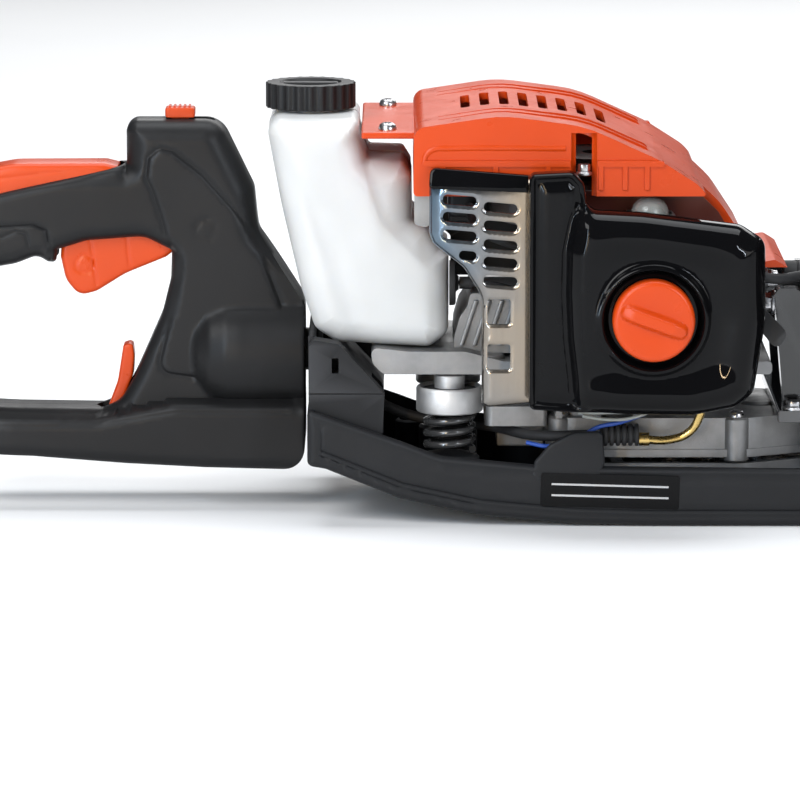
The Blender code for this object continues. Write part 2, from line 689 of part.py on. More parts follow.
connecting_rod = prism(
    "connecting_rod", ROD_SIDE, BORE_Z - 2, BORE_Z + 2, STEEL, axis="Z",
    holes=[circle(CRANK_X + CRANK_THROW, 0, 4.8), circle(PISTON_PIN_X, 0, 3.5, 12)],
)
pivot(connecting_rod, (PISTON_PIN_X, 0, BORE_Z))

crank_low = rod("crankshaft_lower", (CRANK_X, 0, 53.2), 41, 6, STEEL, segments=16)
join(
    crank_low,
    rod("lower_web", (CRANK_X, 0, 92), 8, WEB_R, segments=24),
    rod("lower_crank_pin", (CRANK_X + CRANK_THROW, 0, 98), 4.6, 4.5, segments=12),
)
crank_high = rod("crankshaft_upper", (CRANK_X, 0, 115), 41, 6, STEEL, segments=16)
join(
    crank_high,
    rod("upper_web", (CRANK_X, 0, 110), 8, WEB_R, segments=24),
    rod("upper_crank_pin", (CRANK_X + CRANK_THROW, 0, 107.4), 4.6, 4.5, segments=12),
)

flywheel = turned(
    "flywheel",
    [(18, 153), (22, 142), (46, 141), (50, 147), (50, 136), (6.4, 136), (6.4, 153)],
    (CRANK_X, 0, 0), CAST_ALLOY, closed=True, segments=32,
)
for k in range(10):
    angle = 2 * pi * k / 10
    vane = block(f"flywheel_vane_{k}", (26, -1.2, 139), (46, 1.2, 150))
    vane.matrix_local = Matrix.Translation((CRANK_X * MM, 0, 0)) @ Matrix.Rotation(angle, 4, "Z")
    join(flywheel, vane)

block("ignition_coil", (66, -16, 134), (84.5, 16, 151), SATIN_BLACK, edge=2)
turned(
    "spark_plug",
    [(0, 232), (3, 232), (3, 222), (7, 221), (7, 211), (5, 210), (5, 198), (0, 198)],
    (0, 0, BORE_Z), STEEL, axis="X", segments=16,
)
lead = tube(
    "ignition_lead",
    [(76, -17.5, 142), (84, -48, 134), (120, -48.2, 125), (160, -47.9, 118.4), (203, -48, 116),
     (216, -47, 113), (230, -38, 113), (246, -20, 112), (250, -3, 106), (243, 0, BORE_Z)],
    2.5, RUBBER, sides=1, resolution=3,
)
boot = turned(
    "plug_boot", [(0, 244), (6, 244), (9.5, 238), (9.5, 224), (3.4, 224), (3.4, 233), (0, 233)],
    (0, 0, BORE_Z), None, axis="X", segments=16,
)
join(lead, boot)


# ----------------------------------------------------- carburettor and covers

carburettor = block("carburettor", (156, -78.5, 84), (196, -46, 114), CAST_ALLOY, edge=1.5)
join(carburettor, block("primer_post", (146, -76.5, 110), (170, -52, 146), edge=2))
cut(
    carburettor,
    rod("venturi", (PORT[0], -90, PORT[1]), 60, 8, axis="Y", segments=16),
    rod("primer_pocket", (158, -64, 138), 10, 10.5, segments=20),
)
throttle_lever = prism(
    "carburettor_lever",
    [(PORT[0] - 6, -56, 5), (PORT[0] - 6, -68, 5), (PORT[0] + 6, -68, 5), (PORT[0] + 20, -60, 3),
     (PORT[0] + 20, -55, 3), (PORT[0] + 6, -54, 5)],
    80, 83.5, ZINC_YELLOW, axis="Z",
)
pivot(throttle_lever, (PORT[0], -62, 80))
prism(
    "intake_insulator",
    [(169, 88, 3), (190, 88, 3), (190, 110, 3), (169, 110, 3)], -45.7, -30.3, SATIN_BLACK,
    holes=[circle(*PORT, 7.5)],
)

PANEL = [
    (57, 168.4, 3), (102, 165, 1), (124, 164, 4), (127, 148, 6), (154, 146.4, 10), (200, 141, 6),
    (204, 134, 6), (204, 64, 6), (102, 60, 1), (84, 58.3, 3), (81, 60, 2), (81, 109.6, 12),
    (72.7, 123, 12), (58.5, 134, 3), (57, 138.5, 2),
]
LEFT_SLOTS = [(70.8, z) for z in (154.2, 146.2, 138.1)]
RIGHT_SLOTS = [(89.4, z) for z in (150.7, 142.3, 133.7, 125.6, 117.2)]
WINDOWS = [(88.8, z) for z in (103, 82)]
panel_holes = [slot(x, z, 15, 5, -5) for x, z in LEFT_SLOTS + RIGHT_SLOTS]
for x, z in WINDOWS:
    panel_holes.append([(x + a * 5.35, z + b * 6, 1.5) for a, b in ((-1, -1), (1, -1), (1, 1), (-1, 1))])
panel_holes.append(circle(*PORT, 9))
prism("side_panel", PANEL, PANEL_Y, PANEL_Y + 3, GLOSS_BLACK, holes=panel_holes, step=60)

COVER = [
    (102.4, 59.2, 3), (102.4, 167.3, 3), (122, 168.3, 5), (127, 163, 4), (129, 150.5, 6), (154, 149.1, 20),
    (198.3, 143.5, 10), (209.6, 136, 7), (210.2, 100, 60), (205, 66, 9), (197, 59.6, 9), (177, 55.7, 20),
    (147, 56.2, 20),
]
cover = prism("cleaner_cover", COVER, COVER_FACE_Y, PANEL_Y - GAP, GLOSS_BLACK, edge=4)
cut(cover, prism("cleaner_cover_hollow", offset(COVER, 2.5), COVER_FACE_Y + 2.5, PANEL_Y + 5))
join(cover, rod("knob_seat", (KNOB[0], -88.3, KNOB[1]), -8.2, 25, axis="Y", segments=32))
cut(
    cover,
    rod("knob_recess", (KNOB[0], -100, KNOB[1]), 9.2, 22.5, axis="Y", segments=32),
    rod("knob_hole", (KNOB[0], -95, KNOB[1]), 12, 4, axis="Y", segments=16),
)
knob = rod("cover_knob", (KNOB[0], -98, KNOB[1]), 6.8, 18.7, ORANGE, axis="Y", segments=32)
soften(knob, 1.2)
grip_bar = prism("knob_bar", slot(*KNOB, 30, 8, -20), -103.5, -96, edge=1)
join(knob, grip_bar, rod("knob_stem", (KNOB[0], -92, KNOB[1]), 8.6, 3.5, axis="Y", segments=12))
pivot(knob, (KNOB[0], 0, KNOB[1]))

prism(
    "air_filter", [(132, 68, 6), (200, 68, 6), (200, 138, 6), (132, 138, 6)], -87.6, PANEL_Y - GAP, FOAM,
    holes=[circle(*KNOB, 5)],
)
turned(
    "primer_bulb",
    [(0, 153.6), (4, 153.0), (7, 151.0), (8.5, 148), (8.8, 144.5), (10, 144.3), (10, 142.8), (7, 142.8),
     (7, 147), (0, 150.5)],
    (158, -64, 0), BULB_CLEAR, segments=20,
)
choke = rod("choke_lever", (202.5, -77.5, 106), 8, 5, SATIN_BLACK, axis="Y", segments=16)
join(choke, prism("choke_arm", [(200, 104, 1), (204, 110, 1), (221, 92, 3), (216, 84, 3)], -77, -73))
pivot(choke, (202.5, 0, 106))

muffler = block("muffler", (166, 38, 76), (214, 72, 116), DARK_STEEL, edge=5)
cut(
    muffler,
    block("muffler_hollow", (168, 40, 78), (212, 70, 114), edge=4),
    rod("muffler_inlet", (PORT[0] + 1, 30, 103), 12, 7, axis="Y", segments=16),
    rod("muffler_outlet", (204, 0, 88), 80, 4, axis="Y", segments=12),
)
neck = turned(
    "muffler_neck", [(11, 38.5), (11, 36.4), (7, 36.4), (7, 38.5)], (PORT[0] + 1, 0, 103), None, axis="Y",
    closed=True, segments=16,
)
join(muffler, neck)
guard_holes = [slot(x, z, 22, 6, 0) for x in (144, 178) for z in (78, 90, 102, 114)]
prism(
    "muffler_guard",
    [(118, 64, 6), (212, 64, 10), (208, 104, 20), (197, 124, 20), (180, 140, 14), (160, 148, 10),
     (118, 149, 8)],
    76, 79, SATIN_BLACK, holes=guard_holes, step=90,
)


# ------------------------------------------------------------ starter cover

TOP = [(50, 186, 6), (90, 192, 60), (128, 187, 60), (162, 171.5, 40), (180, 160, 30)]
DECK = [(49.8, 155, 2), (184, 155, 1), *reversed(TOP)]
NOSE = [
    (165, 118, 0), (222.6, 118, 0), (217, 121.5, 3), (208, 120, 3), (202.4, 131.3, 20), (191, 148.6, 30),
    (177, 161.7, 30), (165, 168, 0),
]
NOSE_HOLLOW = [
    (219, 110, 0), (204, 119, 2), (199, 130, 18), (188.5, 146, 28), (175, 158.5, 28), (158, 165.5, 0),
    (158, 110, 0),
]
DECK_HOLLOW = [
    (53, 150, 1), (181, 150, 1), (177, 158, 20), (160, 168.5, 38), (127, 183.8, 58), (90, 188.8, 58),
    (53, 183, 5),
]
starter = prism("starter_cover", DECK, -STARTER_HALF, STARTER_HALF, ORANGE, edge=9, segments=2)
join(
    starter,
    prism("starter_nose", NOSE, -NOSE_HALF, NOSE_HALF, edge=5),
    block("starter_flange", (26, -58, 179.2), (60, 58, 182.2), edge=0.8),
)
cut(
    starter,
    prism("starter_hollow", DECK_HOLLOW, -(STARTER_HALF - 3), STARTER_HALF - 3),
    prism("nose_hollow", NOSE_HOLLOW, -(NOSE_HALF - 3), NOSE_HALF - 3),
    rod("rope_exit", (112, 66, 160), 12, 3, axis="Y", segments=12),
)
turned(
    "starter_reel",
    [(28, 166), (28, 163.5), (22, 163), (22, 157), (28, 156.5), (28, 154), (7, 154), (7, 166)],
    (CRANK_X, 0, 0), SATIN_BLACK, closed=True, segments=28,
)
rope_x = CRANK_X - 24.3
tube("starter_rope", [(rope_x, -66, 160), (rope_x, 77, 160)], 1.6, ROPE, sides=1, smooth=False)
block("starter_grip", (rope_x - 21, 77.3, 153), (rope_x + 21, 90, 167), SATIN_BLACK, edge=5)


# --------------------------------------------------------------- fuel system

TANK = [
    (-18.6, 186, 7), (-11, 145, 30), (-2.3, 107.2, 30), (4.2, 88, 8), (14, 81.4, 10), (57.5, 79.1, 6),
    (66.2, 86, 7), (66.2, 122.6, 1.5), (62, 125, 2), (56, 134, 4), (49, 139, 3), (48.8, 160, 4), (45, 166, 3),
    (29, 166.5, 2), (24.8, 178, 8), (24.8, 186, 5),
]
tank = prism("fuel_tank", TANK, -45, 45, TANK_WHITE, edge=6)
join(tank, rod("tank_neck", (2, 0, 180), 14, 16, segments=24))
cut(
    tank,
    prism("tank_hollow", offset(TANK, 2.4), -42.6, 42.6),
    rod("tank_filler", (2, 0, 178), 20, 12.5, segments=24),
)
turned(
    "fuel_cap",
    [(0, 199), (19, 199), (21, 197), (21, 187.2), (16.8, 187.2), (16.8, 195.6), (0, 195.6)],
    (2, 0, 0), SATIN_BLACK, segments=24,
)
turned(
    "fuel_grommet", [(0, 71), (3.5, 71), (10.5, 69.4), (10.5, 66.6), (0, 66.6)], (0, -30, 108.5), RUBBER,
    axis="X", segments=20,
)
tube(
    "fuel_hose",
    [(71.4, -30, 108.5), (77, -30.6, 108.6), (84, -38, 109), (100, -55, 108), (128, -66, 104),
     (155.4, -66, 98)],
    1.9, RUBBER, sides=1, resolution=3,
)


# ---------------------------------------------------------------- front end

BRACKET = [
    (216.5, 108, 3), (229, 108, 3), (236, 60, 6), (262, 55, 3), (266, 52, 1), (266, 47.4, 0), (222, 47.4, 1),
]
bracket = block("front_bracket", (218, -58, 47.4), (266, 58, 53), DARK_STEEL, edge=1)
for side in (-1, 1):
    span = sorted((side * 35, side * 45))
    join(bracket, prism(f"bracket_cheek_{side}", BRACKET, *span))
cut(
    bracket,
    *[rod(f"bracket_bore_{side}", (200, side * 40, 101), 40, 3.5, axis="X", segments=12) for side in (-1, 1)],
    *[
        block(f"bracket_seat_{side}", (229.5, side * 40 - 8.6, 92), (250, side * 40 + 8.6, 112))
        for side in (-1, 1)
    ],
)

HALF_LOOP = [
    (230, -40, 101), (258, -40, 101), (278, -52, 104), (288, -96, 122), (290, -117.5, 152), (290, -112, 188),
    (290, -86, 208), (290, -45, 213.5),
]
loop_points = HALF_LOOP + [(x, -y, z) for x, y, z in reversed(HALF_LOOP)]
tube("front_handle", loop_points, 8, DARK_STEEL, sides=2, resolution=2)

guard = prism(
    "hand_guard",
    [(-66, 40, 20), (-112, 90, 24), (-112, 186, 26), (-80, 214, 20), (80, 214, 20), (112, 186, 26),
     (112, 90, 24), (66, 40, 20)],
    318, 321, SATIN_BLACK, axis="X", edge=0.9,
)
join(guard, block("hand_guard_foot", (266.4, -40, 47.4), (320, 40, 51)))


# --------------------------------------------------------------- throttle cable

tube(
    "throttle_cable",
    [(-48, 0, HANDLE_AXIS_Z), (6, 0, HANDLE_AXIS_Z), (14, -1, 68), (26, -5, 54), (46, -14, 44),
     (86, -26, 40), (108, -50, 40), (134.5, -53.5, 41)],
    2.4, RUBBER, sides=1, resolution=4,
)
ribs = [(0, 154)]
for k in range(4):
    x = 154 - 4.5 * k
    ribs += [(5.2, x), (5.2, x - 2.4), (3.8, x - 2.4), (3.8, x - 4.5)]
turned("cable_boot", [*ribs, (0, 136)], (0, -53.5, 41), RUBBER, axis="X", segments=12)
tube(
    "cable_tube",
    [(154.4, -53.5, 39), (168, -53.5, 38.6), (177, -54, 42), (182, -56, 50), (184, -60, 66), (184, -62, 76)],
    2.0, ZINC_YELLOW, sides=1, resolution=4,
)

for piece in machine.objects:
    if piece.type == "MESH":
        piece.data.shade_smooth()
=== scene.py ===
"""How the hedge trimmer looks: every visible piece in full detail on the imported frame, its materials, studio
lights and the camera.

Helpers take millimetres, in the machine's own frame: X runs forward from the joint between the rear handle
and the hull, Y is to the left and Z is up from the ground.
"""

from math import ceil, cos, pi, radians, sin, tan

import bmesh
import bpy
import numpy as np
from mathutils import Matrix, Vector
from mathutils.geometry import delaunay_2d_cdt


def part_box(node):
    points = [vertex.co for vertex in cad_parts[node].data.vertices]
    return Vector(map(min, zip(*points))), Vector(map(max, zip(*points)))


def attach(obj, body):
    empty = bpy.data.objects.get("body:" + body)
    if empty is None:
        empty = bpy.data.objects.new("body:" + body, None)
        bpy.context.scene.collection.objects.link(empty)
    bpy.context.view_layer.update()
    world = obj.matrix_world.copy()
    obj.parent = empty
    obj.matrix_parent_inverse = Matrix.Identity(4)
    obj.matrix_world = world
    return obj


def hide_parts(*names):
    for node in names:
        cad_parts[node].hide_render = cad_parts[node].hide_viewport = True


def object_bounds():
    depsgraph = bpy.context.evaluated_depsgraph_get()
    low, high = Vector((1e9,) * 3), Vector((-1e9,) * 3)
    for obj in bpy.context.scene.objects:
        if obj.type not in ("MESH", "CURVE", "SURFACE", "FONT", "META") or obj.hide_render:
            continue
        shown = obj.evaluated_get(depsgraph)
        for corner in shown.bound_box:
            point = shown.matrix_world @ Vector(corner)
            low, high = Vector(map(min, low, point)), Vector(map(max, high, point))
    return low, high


MM = 0.001
FINE = 0.3  # a seam, or a gap between neighbours

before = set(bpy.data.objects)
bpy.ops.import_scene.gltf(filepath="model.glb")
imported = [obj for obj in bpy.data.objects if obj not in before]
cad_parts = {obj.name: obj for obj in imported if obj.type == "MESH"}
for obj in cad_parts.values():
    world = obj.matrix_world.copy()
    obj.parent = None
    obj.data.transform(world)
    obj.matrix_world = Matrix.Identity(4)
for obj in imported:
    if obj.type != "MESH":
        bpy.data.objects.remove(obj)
cad_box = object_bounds()
hull_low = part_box("hull")[0]
ORIGIN = Vector((hull_low[0] - 0.9 * MM, 0, hull_low[2]))


# ---------------------------------------------------------------- materials

class Nodes:
    """A material's node tree, with short calls for the nodes that these surfaces are made of."""

    def __init__(self, name):
        self.material = bpy.data.materials.new(name)
        self.material.use_nodes = True
        self.tree = self.material.node_tree
        self.shader = self.tree.nodes["Principled BSDF"]
        self.place = self.add("ShaderNodeTexCoord").outputs["Object"]

    def add(self, kind, **values):
        node = self.tree.nodes.new(kind)
        for key, value in values.items():
            setattr(node, key, value)
        return node

    def link(self, source, target):
        self.tree.links.new(source, target)

    def stretched(self, scale):
        node = self.add("ShaderNodeMapping")
        node.inputs["Scale"].default_value = scale
        self.link(self.place, node.inputs["Vector"])
        return node.outputs["Vector"]

    def noise(self, scale, detail=3.0, stretch=(1, 1, 1), roughness=0.55):
        node = self.add("ShaderNodeTexNoise")
        node.inputs["Scale"].default_value = scale
        node.inputs["Detail"].default_value = detail
        node.inputs["Roughness"].default_value = roughness
        self.link(self.stretched(stretch), node.inputs["Vector"])
        return node.outputs["Fac"]

    def between(self, factor, low, high, start=0.3, end=0.7):
        """A number from low to high as the factor goes from start to end."""
        node = self.add("ShaderNodeMapRange")
        for key, value in (("From Min", start), ("From Max", end), ("To Min", low), ("To Max", high)):
            node.inputs[key].default_value = value
        self.link(factor, node.inputs["Value"])
        return node.outputs["Result"]

    def colours(self, factor, *stops):
        """A colour picked by the factor from (position, colour) stops."""
        ramp = self.add("ShaderNodeValToRGB")
        band = ramp.color_ramp
        band.elements[0].position, band.elements[1].position = stops[0][0], stops[-1][0]
        band.elements[0].color, band.elements[1].color = (*stops[0][1], 1), (*stops[-1][1], 1)
        for position, colour in stops[1:-1]:
            band.elements.new(position).color = (*colour, 1)
        self.link(factor, ramp.inputs["Fac"])
        return ramp.outputs["Color"]

    def bump(self, *layers):
        """Layers of (height, depth in metres), each on top of the one before."""
        below = None
        for height, depth in layers:
            node = self.add("ShaderNodeBump")
            node.inputs["Strength"].default_value = 1.0
            node.inputs["Distance"].default_value = depth
            self.link(height, node.inputs["Height"])
            if below is not None:
                self.link(below, node.inputs["Normal"])
            below = node.outputs["Normal"]
        self.link(below, self.shader.inputs["Normal"])

    def set(self, **sockets):
        for key, value in sockets.items():
            self.shader.inputs[key.replace("_", " ").title().replace("Ior", "IOR")].default_value = value


def scaled(colour, share):
    return tuple(min(c * share, 1.0) for c in colour)


def surface(name, colour, rough, metallic=0.0, broad=14.0, fine=2200.0, depth=2e-5, tint=0.18,
    stretch=(1, 1, 1),
            worn=None, swell=0.0, **sockets):
    """Broad mottling of colour and sheen over a fine grain, with lighter wear where an edge is rubbed."""
    nodes = Nodes(name)
    wide = nodes.noise(broad, stretch=stretch)
    shade = nodes.colours(wide, (0.3, scaled(colour, 1 - tint)), (0.7, scaled(colour, 1 + tint)))
    if worn is not None:
        corner = nodes.add("ShaderNodeNewGeometry").outputs["Pointiness"]
        rub = nodes.between(corner, 0.0, 0.55, 0.52, 0.60)
        mixed = nodes.add("ShaderNodeMix", data_type="RGBA")
        nodes.link(rub, mixed.inputs["Factor"])
        nodes.link(shade, mixed.inputs["A"])
        mixed.inputs["B"].default_value = (*worn, 1)
        shade = mixed.outputs["Result"]
    nodes.link(shade, nodes.shader.inputs["Base Color"])
    sheen = nodes.noise(broad * 5, detail=5, stretch=stretch)
    nodes.link(nodes.between(sheen, *rough), nodes.shader.inputs["Roughness"])
    layers = [(nodes.noise(fine, detail=2, stretch=stretch), depth)]
    if swell:
        layers.insert(0, (nodes.noise(60, detail=1), swell))
    nodes.bump(*layers)
    nodes.set(metallic=metallic, **sockets)
    return nodes.material


def cast_surface(name, share):
    """Die-cast alloy: a sandy skin, darker in patches, with soft flow marks."""
    nodes = Nodes(name)
    patches = nodes.noise(28, detail=5)
    tones = [
        (place_at, (tone * share, tone * share, tone * share))
        for place_at, tone in ((0.30, 0.40), (0.55, 0.60), (0.8, 0.74))
    ]
    nodes.link(nodes.colours(patches, *tones), nodes.shader.inputs["Base Color"])
    nodes.link(nodes.between(nodes.noise(160, detail=4), 0.42, 0.62), nodes.shader.inputs["Roughness"])
    nodes.bump((nodes.noise(90, detail=2), 1.2e-4), (nodes.noise(1500, detail=3), 9e-5))
    nodes.set(metallic=0.85)
    return nodes.material


def rope_surface():
    """A braided cord: two crossing sets of strands."""
    nodes = Nodes("finish_starter_rope")
    waves = []
    for slant in (1, -1):
        wave = nodes.add("ShaderNodeTexWave")
        wave.inputs["Scale"].default_value = 160
        nodes.link(nodes.stretched((1, 1, slant)), wave.inputs["Vector"])
        waves.append(wave.outputs["Fac"])
    nodes.link(
        nodes.colours(waves[0], (0.2, (0.42, 0.42, 0.40)), (0.8, (0.72, 0.72, 0.69))),
        nodes.shader.inputs["Base Color"],
    )
    nodes.bump((waves[0], 2e-4), (waves[1], 2e-4))
    nodes.set(roughness=0.85)
    return nodes.material


def panel_surface():
    """Dark polished sheet, tinted blue at the rear and straw at the front, with fine upright brushing."""
    nodes = Nodes("finish_panel_sheet")
    along = nodes.add("ShaderNodeSeparateXYZ")
    nodes.link(nodes.stretched((1, 1, 1)), along.inputs["Vector"])
    drift = nodes.add("ShaderNodeMath", operation="MULTIPLY_ADD")
    nodes.link(nodes.noise(22, detail=2), drift.inputs[0])
    drift.inputs[1].default_value = 0.05
    nodes.link(along.outputs["X"], drift.inputs[2])
    nodes.link(
        nodes.colours(
            nodes.between(drift.outputs["Value"], 0, 1, 0.082, 0.132),
            (0.0, (0.11, 0.16, 0.21)), (0.45, (0.20, 0.20, 0.20)), (1.0, (0.33, 0.27, 0.20)),
        ),
        nodes.shader.inputs["Base Color"],
    )
    brushing = nodes.noise(500, detail=3, stretch=(1, 1, 0.08))
    nodes.link(nodes.between(brushing, 0.14, 0.26), nodes.shader.inputs["Roughness"])
    nodes.bump((nodes.noise(40, detail=1), 1.5e-4), (brushing, 4e-6))
    nodes.set(metallic=0.9)
    return nodes.material


def tank_surface():
    """Milky blow-moulded plastic that light soaks into, cloudier in places."""
    nodes = Nodes("finish_tank_white_plastic")
    cloud = nodes.noise(18, detail=2)
    nodes.link(
        nodes.colours(cloud, (0.3, (0.53, 0.535, 0.53)), (0.7, (0.61, 0.61, 0.60))),
        nodes.shader.inputs["Base Color"]
    )
    nodes.link(nodes.between(nodes.noise(90), 0.30, 0.42), nodes.shader.inputs["Roughness"])
    nodes.bump((nodes.noise(55, detail=1), 2.5e-4), (nodes.noise(1800, detail=2), 1.5e-5))
    nodes.set(subsurface_weight=0.55, subsurface_scale=0.012, subsurface_radius=(1.0, 0.92, 0.78))
    return nodes.material


LOOKS = {
    "satin_black_plastic": surface(
        "finish_satin_black_plastic", (0.011, 0.011, 0.0115), (0.36, 0.47), fine=2600, depth=2.2e-5,
        worn=(0.05, 0.05, 0.051), specular_ior_level=0.19,
    ),
    "gloss_black_plastic": surface(
        "finish_gloss_black_plastic", (0.003, 0.003, 0.0034), (0.035, 0.075), depth=2e-6, swell=9e-5,
        specular_ior_level=0.13,
    ),
    "hull_grey_plastic": surface(
        "finish_hull_grey_plastic", (0.0105, 0.011, 0.0122), (0.46, 0.60), fine=1700, depth=4e-5,
        worn=(0.055, 0.056, 0.06), specular_ior_level=0.22,
    ),
    "orange_plastic": surface(
        "finish_orange_plastic", (0.52, 0.048, 0.003), (0.26, 0.38), depth=6e-6, tint=0.06, swell=5e-5,
        specular_ior_level=0.30,
    ),
    "tank_white_plastic": tank_surface(),
    "primer_clear_plastic": surface(
        "finish_primer_clear_plastic", (0.78, 0.80, 0.76), (0.10, 0.20), tint=0.05, depth=4e-6,
        transmission_weight=0.75, ior=1.45,
    ),
    "cast_aluminium": cast_surface("finish_cast_aluminium", 0.50),
    "steel": surface(
        "finish_steel", (0.52, 0.52, 0.53), (0.22, 0.36), 1.0, broad=40, fine=900, depth=1.2e-5,
        stretch=(1, 1, 6)
    ),
    "black_painted_steel": surface(
        "finish_black_painted_steel", (0.005, 0.005, 0.0055), (0.10, 0.18), fine=700, depth=1.2e-5,
        swell=4e-5,
        worn=(0.10, 0.10, 0.10), coat_weight=0.5, coat_roughness=0.08,
    ),
    "blade_steel": surface(
        "finish_blade_steel", (0.62, 0.62, 0.64), (0.16, 0.34), 1.0, broad=26, fine=700, depth=1.8e-5,
        stretch=(1, 14, 1),
    ),
    "yellow_zinc": surface(
        "finish_yellow_zinc", (0.66, 0.47, 0.17), (0.20, 0.34), 1.0, broad=70, tint=0.28, depth=8e-6
    ),
    "black_rubber": surface(
        "finish_black_rubber", (0.014, 0.014, 0.015), (0.62, 0.78), fine=1500, depth=5e-5, tint=0.3
    ),
    "filter_felt": surface(
        "finish_filter_felt", (0.58, 0.52, 0.40), (0.90, 1.0), broad=60, fine=1100, depth=6e-4, tint=0.25
    ),
    "starter_rope": rope_surface(),
}
LOOKS["panel_sheet"] = panel_surface()
LOOKS["bright_cast"] = cast_surface("finish_bright_cast", 1.0)
# A dark red-brown copy of the orange plastic: painted shade for the inside of the shroud, which is orange
# plastic in shadow.
LOOKS["inner_red"] = surface("finish_painted_shade_orange", (0.10, 0.016, 0.008), (0.35, 0.5), tint=0.2, depth=1e-5)
LOOKS["label_film"] = surface(
    "finish_label_film", (0.002, 0.002, 0.0023), (0.10, 0.16), tint=0.1, depth=3e-6, swell=2e-5,
    specular_ior_level=0.15,
)
LOOKS["label_mark"] = surface("finish_label_mark", (0.42, 0.42, 0.42), (0.30, 0.40), tint=0.05, depth=3e-6)
LOOKS["pale_wire"] = surface("finish_pale_wire", (0.30, 0.32, 0.30), (0.40, 0.55), tint=0.2)
LOOKS["blue_wire"] = surface("finish_blue_wire", (0.015, 0.06, 0.30), (0.35, 0.50), tint=0.2)


# ----------------------------------------------------------------- outlines

def corner_turns(corners):
    for i, (x, y, radius) in enumerate(corners):
        before = Vector(corners[i - 1][:2]) - Vector((x, y))
        after = Vector(corners[(i + 1) % len(corners)][:2]) - Vector((x, y))
        yield Vector((x, y)), radius, before, after


def area(corners):
    ends = corners[1:] + corners[:1]
    return sum(a[0] * b[1] - b[0] * a[1] for a, b in zip(corners, ends)) / 2


def rounded(corners, step=7.0):
    """Points of an outline whose corners are (x, y, radius)."""
    points = []
    for corner, radius, before, after in corner_turns(corners):
        angle = before.angle(after)
        if radius <= 0 or angle > pi - 0.02:
            points.append(tuple(corner))
            continue
        reach = min(radius / tan(angle / 2), 0.48 * before.length, 0.48 * after.length)
        radius = reach * tan(angle / 2)
        middle = corner + (before.normalized() + after.normalized()).normalized() * (radius / sin(angle / 2))
        first = corner + before.normalized() * reach - middle
        last = corner + after.normalized() * reach - middle
        turn = first.angle_signed(last)
        count = max(1, ceil(abs(turn) / radians(step)))
        for k in range(count + 1):
            spoke = first.copy()
            spoke.rotate(Matrix.Rotation(-turn * k / count, 2))
            points.append(tuple(middle + spoke))
    return points


def offset(corners, distance):
    """The outline moved inwards by a distance, or outwards by a negative one."""
    side = 1 if area(corners) > 0 else -1
    moved = []
    for corner, radius, before, after in corner_turns(corners):
        back, ahead = before.normalized(), after.normalized()
        turn = back.cross(ahead)
        if abs(turn) < 1e-4:
            moved.append((*(corner + side * distance * Vector((back.y, -back.x))), radius))
            continue
        inward = -side * (back + ahead) / turn
        convex = -side * turn > 0
        new_radius = radius - distance if convex else radius + distance
        moved.append((*(corner + distance * inward), max(new_radius, 0.4)))
    return moved


def circle(x, y, radius, count=48):
    return [(x + radius * cos(2 * pi * k / count), y + radius * sin(2 * pi * k / count))
        for k in range(count)]


def slot(x, y, length, width, tilt=0.0):
    """Corners of a slot with round ends, tilted by degrees."""
    turn = Matrix.Rotation(radians(tilt), 2)
    along, across = length / 2, width / 2
    ends = ((-along, -across), (along, -across), (along, across), (-along, across))
    return [(*(Vector((x, y)) + turn @ Vector(end)), across) for end in ends]


def oblong(low, high, radius=0.0):
    return [(low[0], low[1], radius), (high[0], low[1], radius), (high[0], high[1], radius),
        (low[0], high[1], radius)]


def points_of(loop, step=7.0):
    return rounded(loop, step) if len(loop[0]) == 3 else list(loop)


def resampled(points, pitch, closed=True):
    """The same line with no step longer than the pitch."""
    ends = points[1:] + points[:1] if closed else points[1:]
    made = []
    for a, b in zip(points, ends):
        count = max(1, ceil((Vector(b) - Vector(a)).length / pitch))
        made += [tuple(Vector(a).lerp(Vector(b), k / count)) for k in range(count)]
    return made if closed else made + [points[-1]]


# ------------------------------------------------------ distances and shapes

def near(a, b, line, closed=False):
    """Distance of each place from a line of points."""
    ends = line[1:] + line[:1] if closed else line[1:]
    best = np.full(np.shape(a), 1e9)
    for (ax, ay), (bx, by) in zip(line, ends):
        dx, dy = bx - ax, by - ay
        length = max(dx * dx + dy * dy, 1e-12)
        share = np.clip(((a - ax) * dx + (b - ay) * dy) / length, 0, 1)
        best = np.minimum(best, np.hypot(a - ax - share * dx, b - ay - share * dy))
    return best


def inside(a, b, loops):
    odd = np.zeros(np.shape(a), bool)
    for loop in loops:
        for (ax, ay), (bx, by) in zip(loop, loop[1:] + loop[:1]):
            if ay == by:
                continue
            crossing = ax + (b - ay) * (bx - ax) / (by - ay)
            odd ^= ((ay > b) != (by > b)) & (a < crossing)
    return odd


def depth_in(a, b, loop):
    """How far each place lies inside an outline, negative outside it."""
    points = points_of(loop)
    away = near(a, b, points, closed=True)
    return np.where(inside(a, b, [points]), away, -away)


def ramp(value, low, high):
    share = np.clip((value - low) / (high - low), 0, 1)
    return share * share * (3 - 2 * share)


def fillet(depth, radius):
    """How far a rounded edge falls back at a depth in from the edge."""
    left = radius - np.clip(depth, 0, radius)
    return radius - np.sqrt(np.maximum(radius * radius - left * left, 0))


def blended(a, b, width):
    """The larger of two heights, with a fillet where they meet."""
    share = np.clip(0.5 + (a - b) / (2 * width), 0, 1)
    return b + (a - b) * share + width * share * (1 - share)


def groove(a, b, line, width):
    return np.exp(-((near(a, b, line) / width) ** 2))


# ------------------------------------------------------------------- pieces

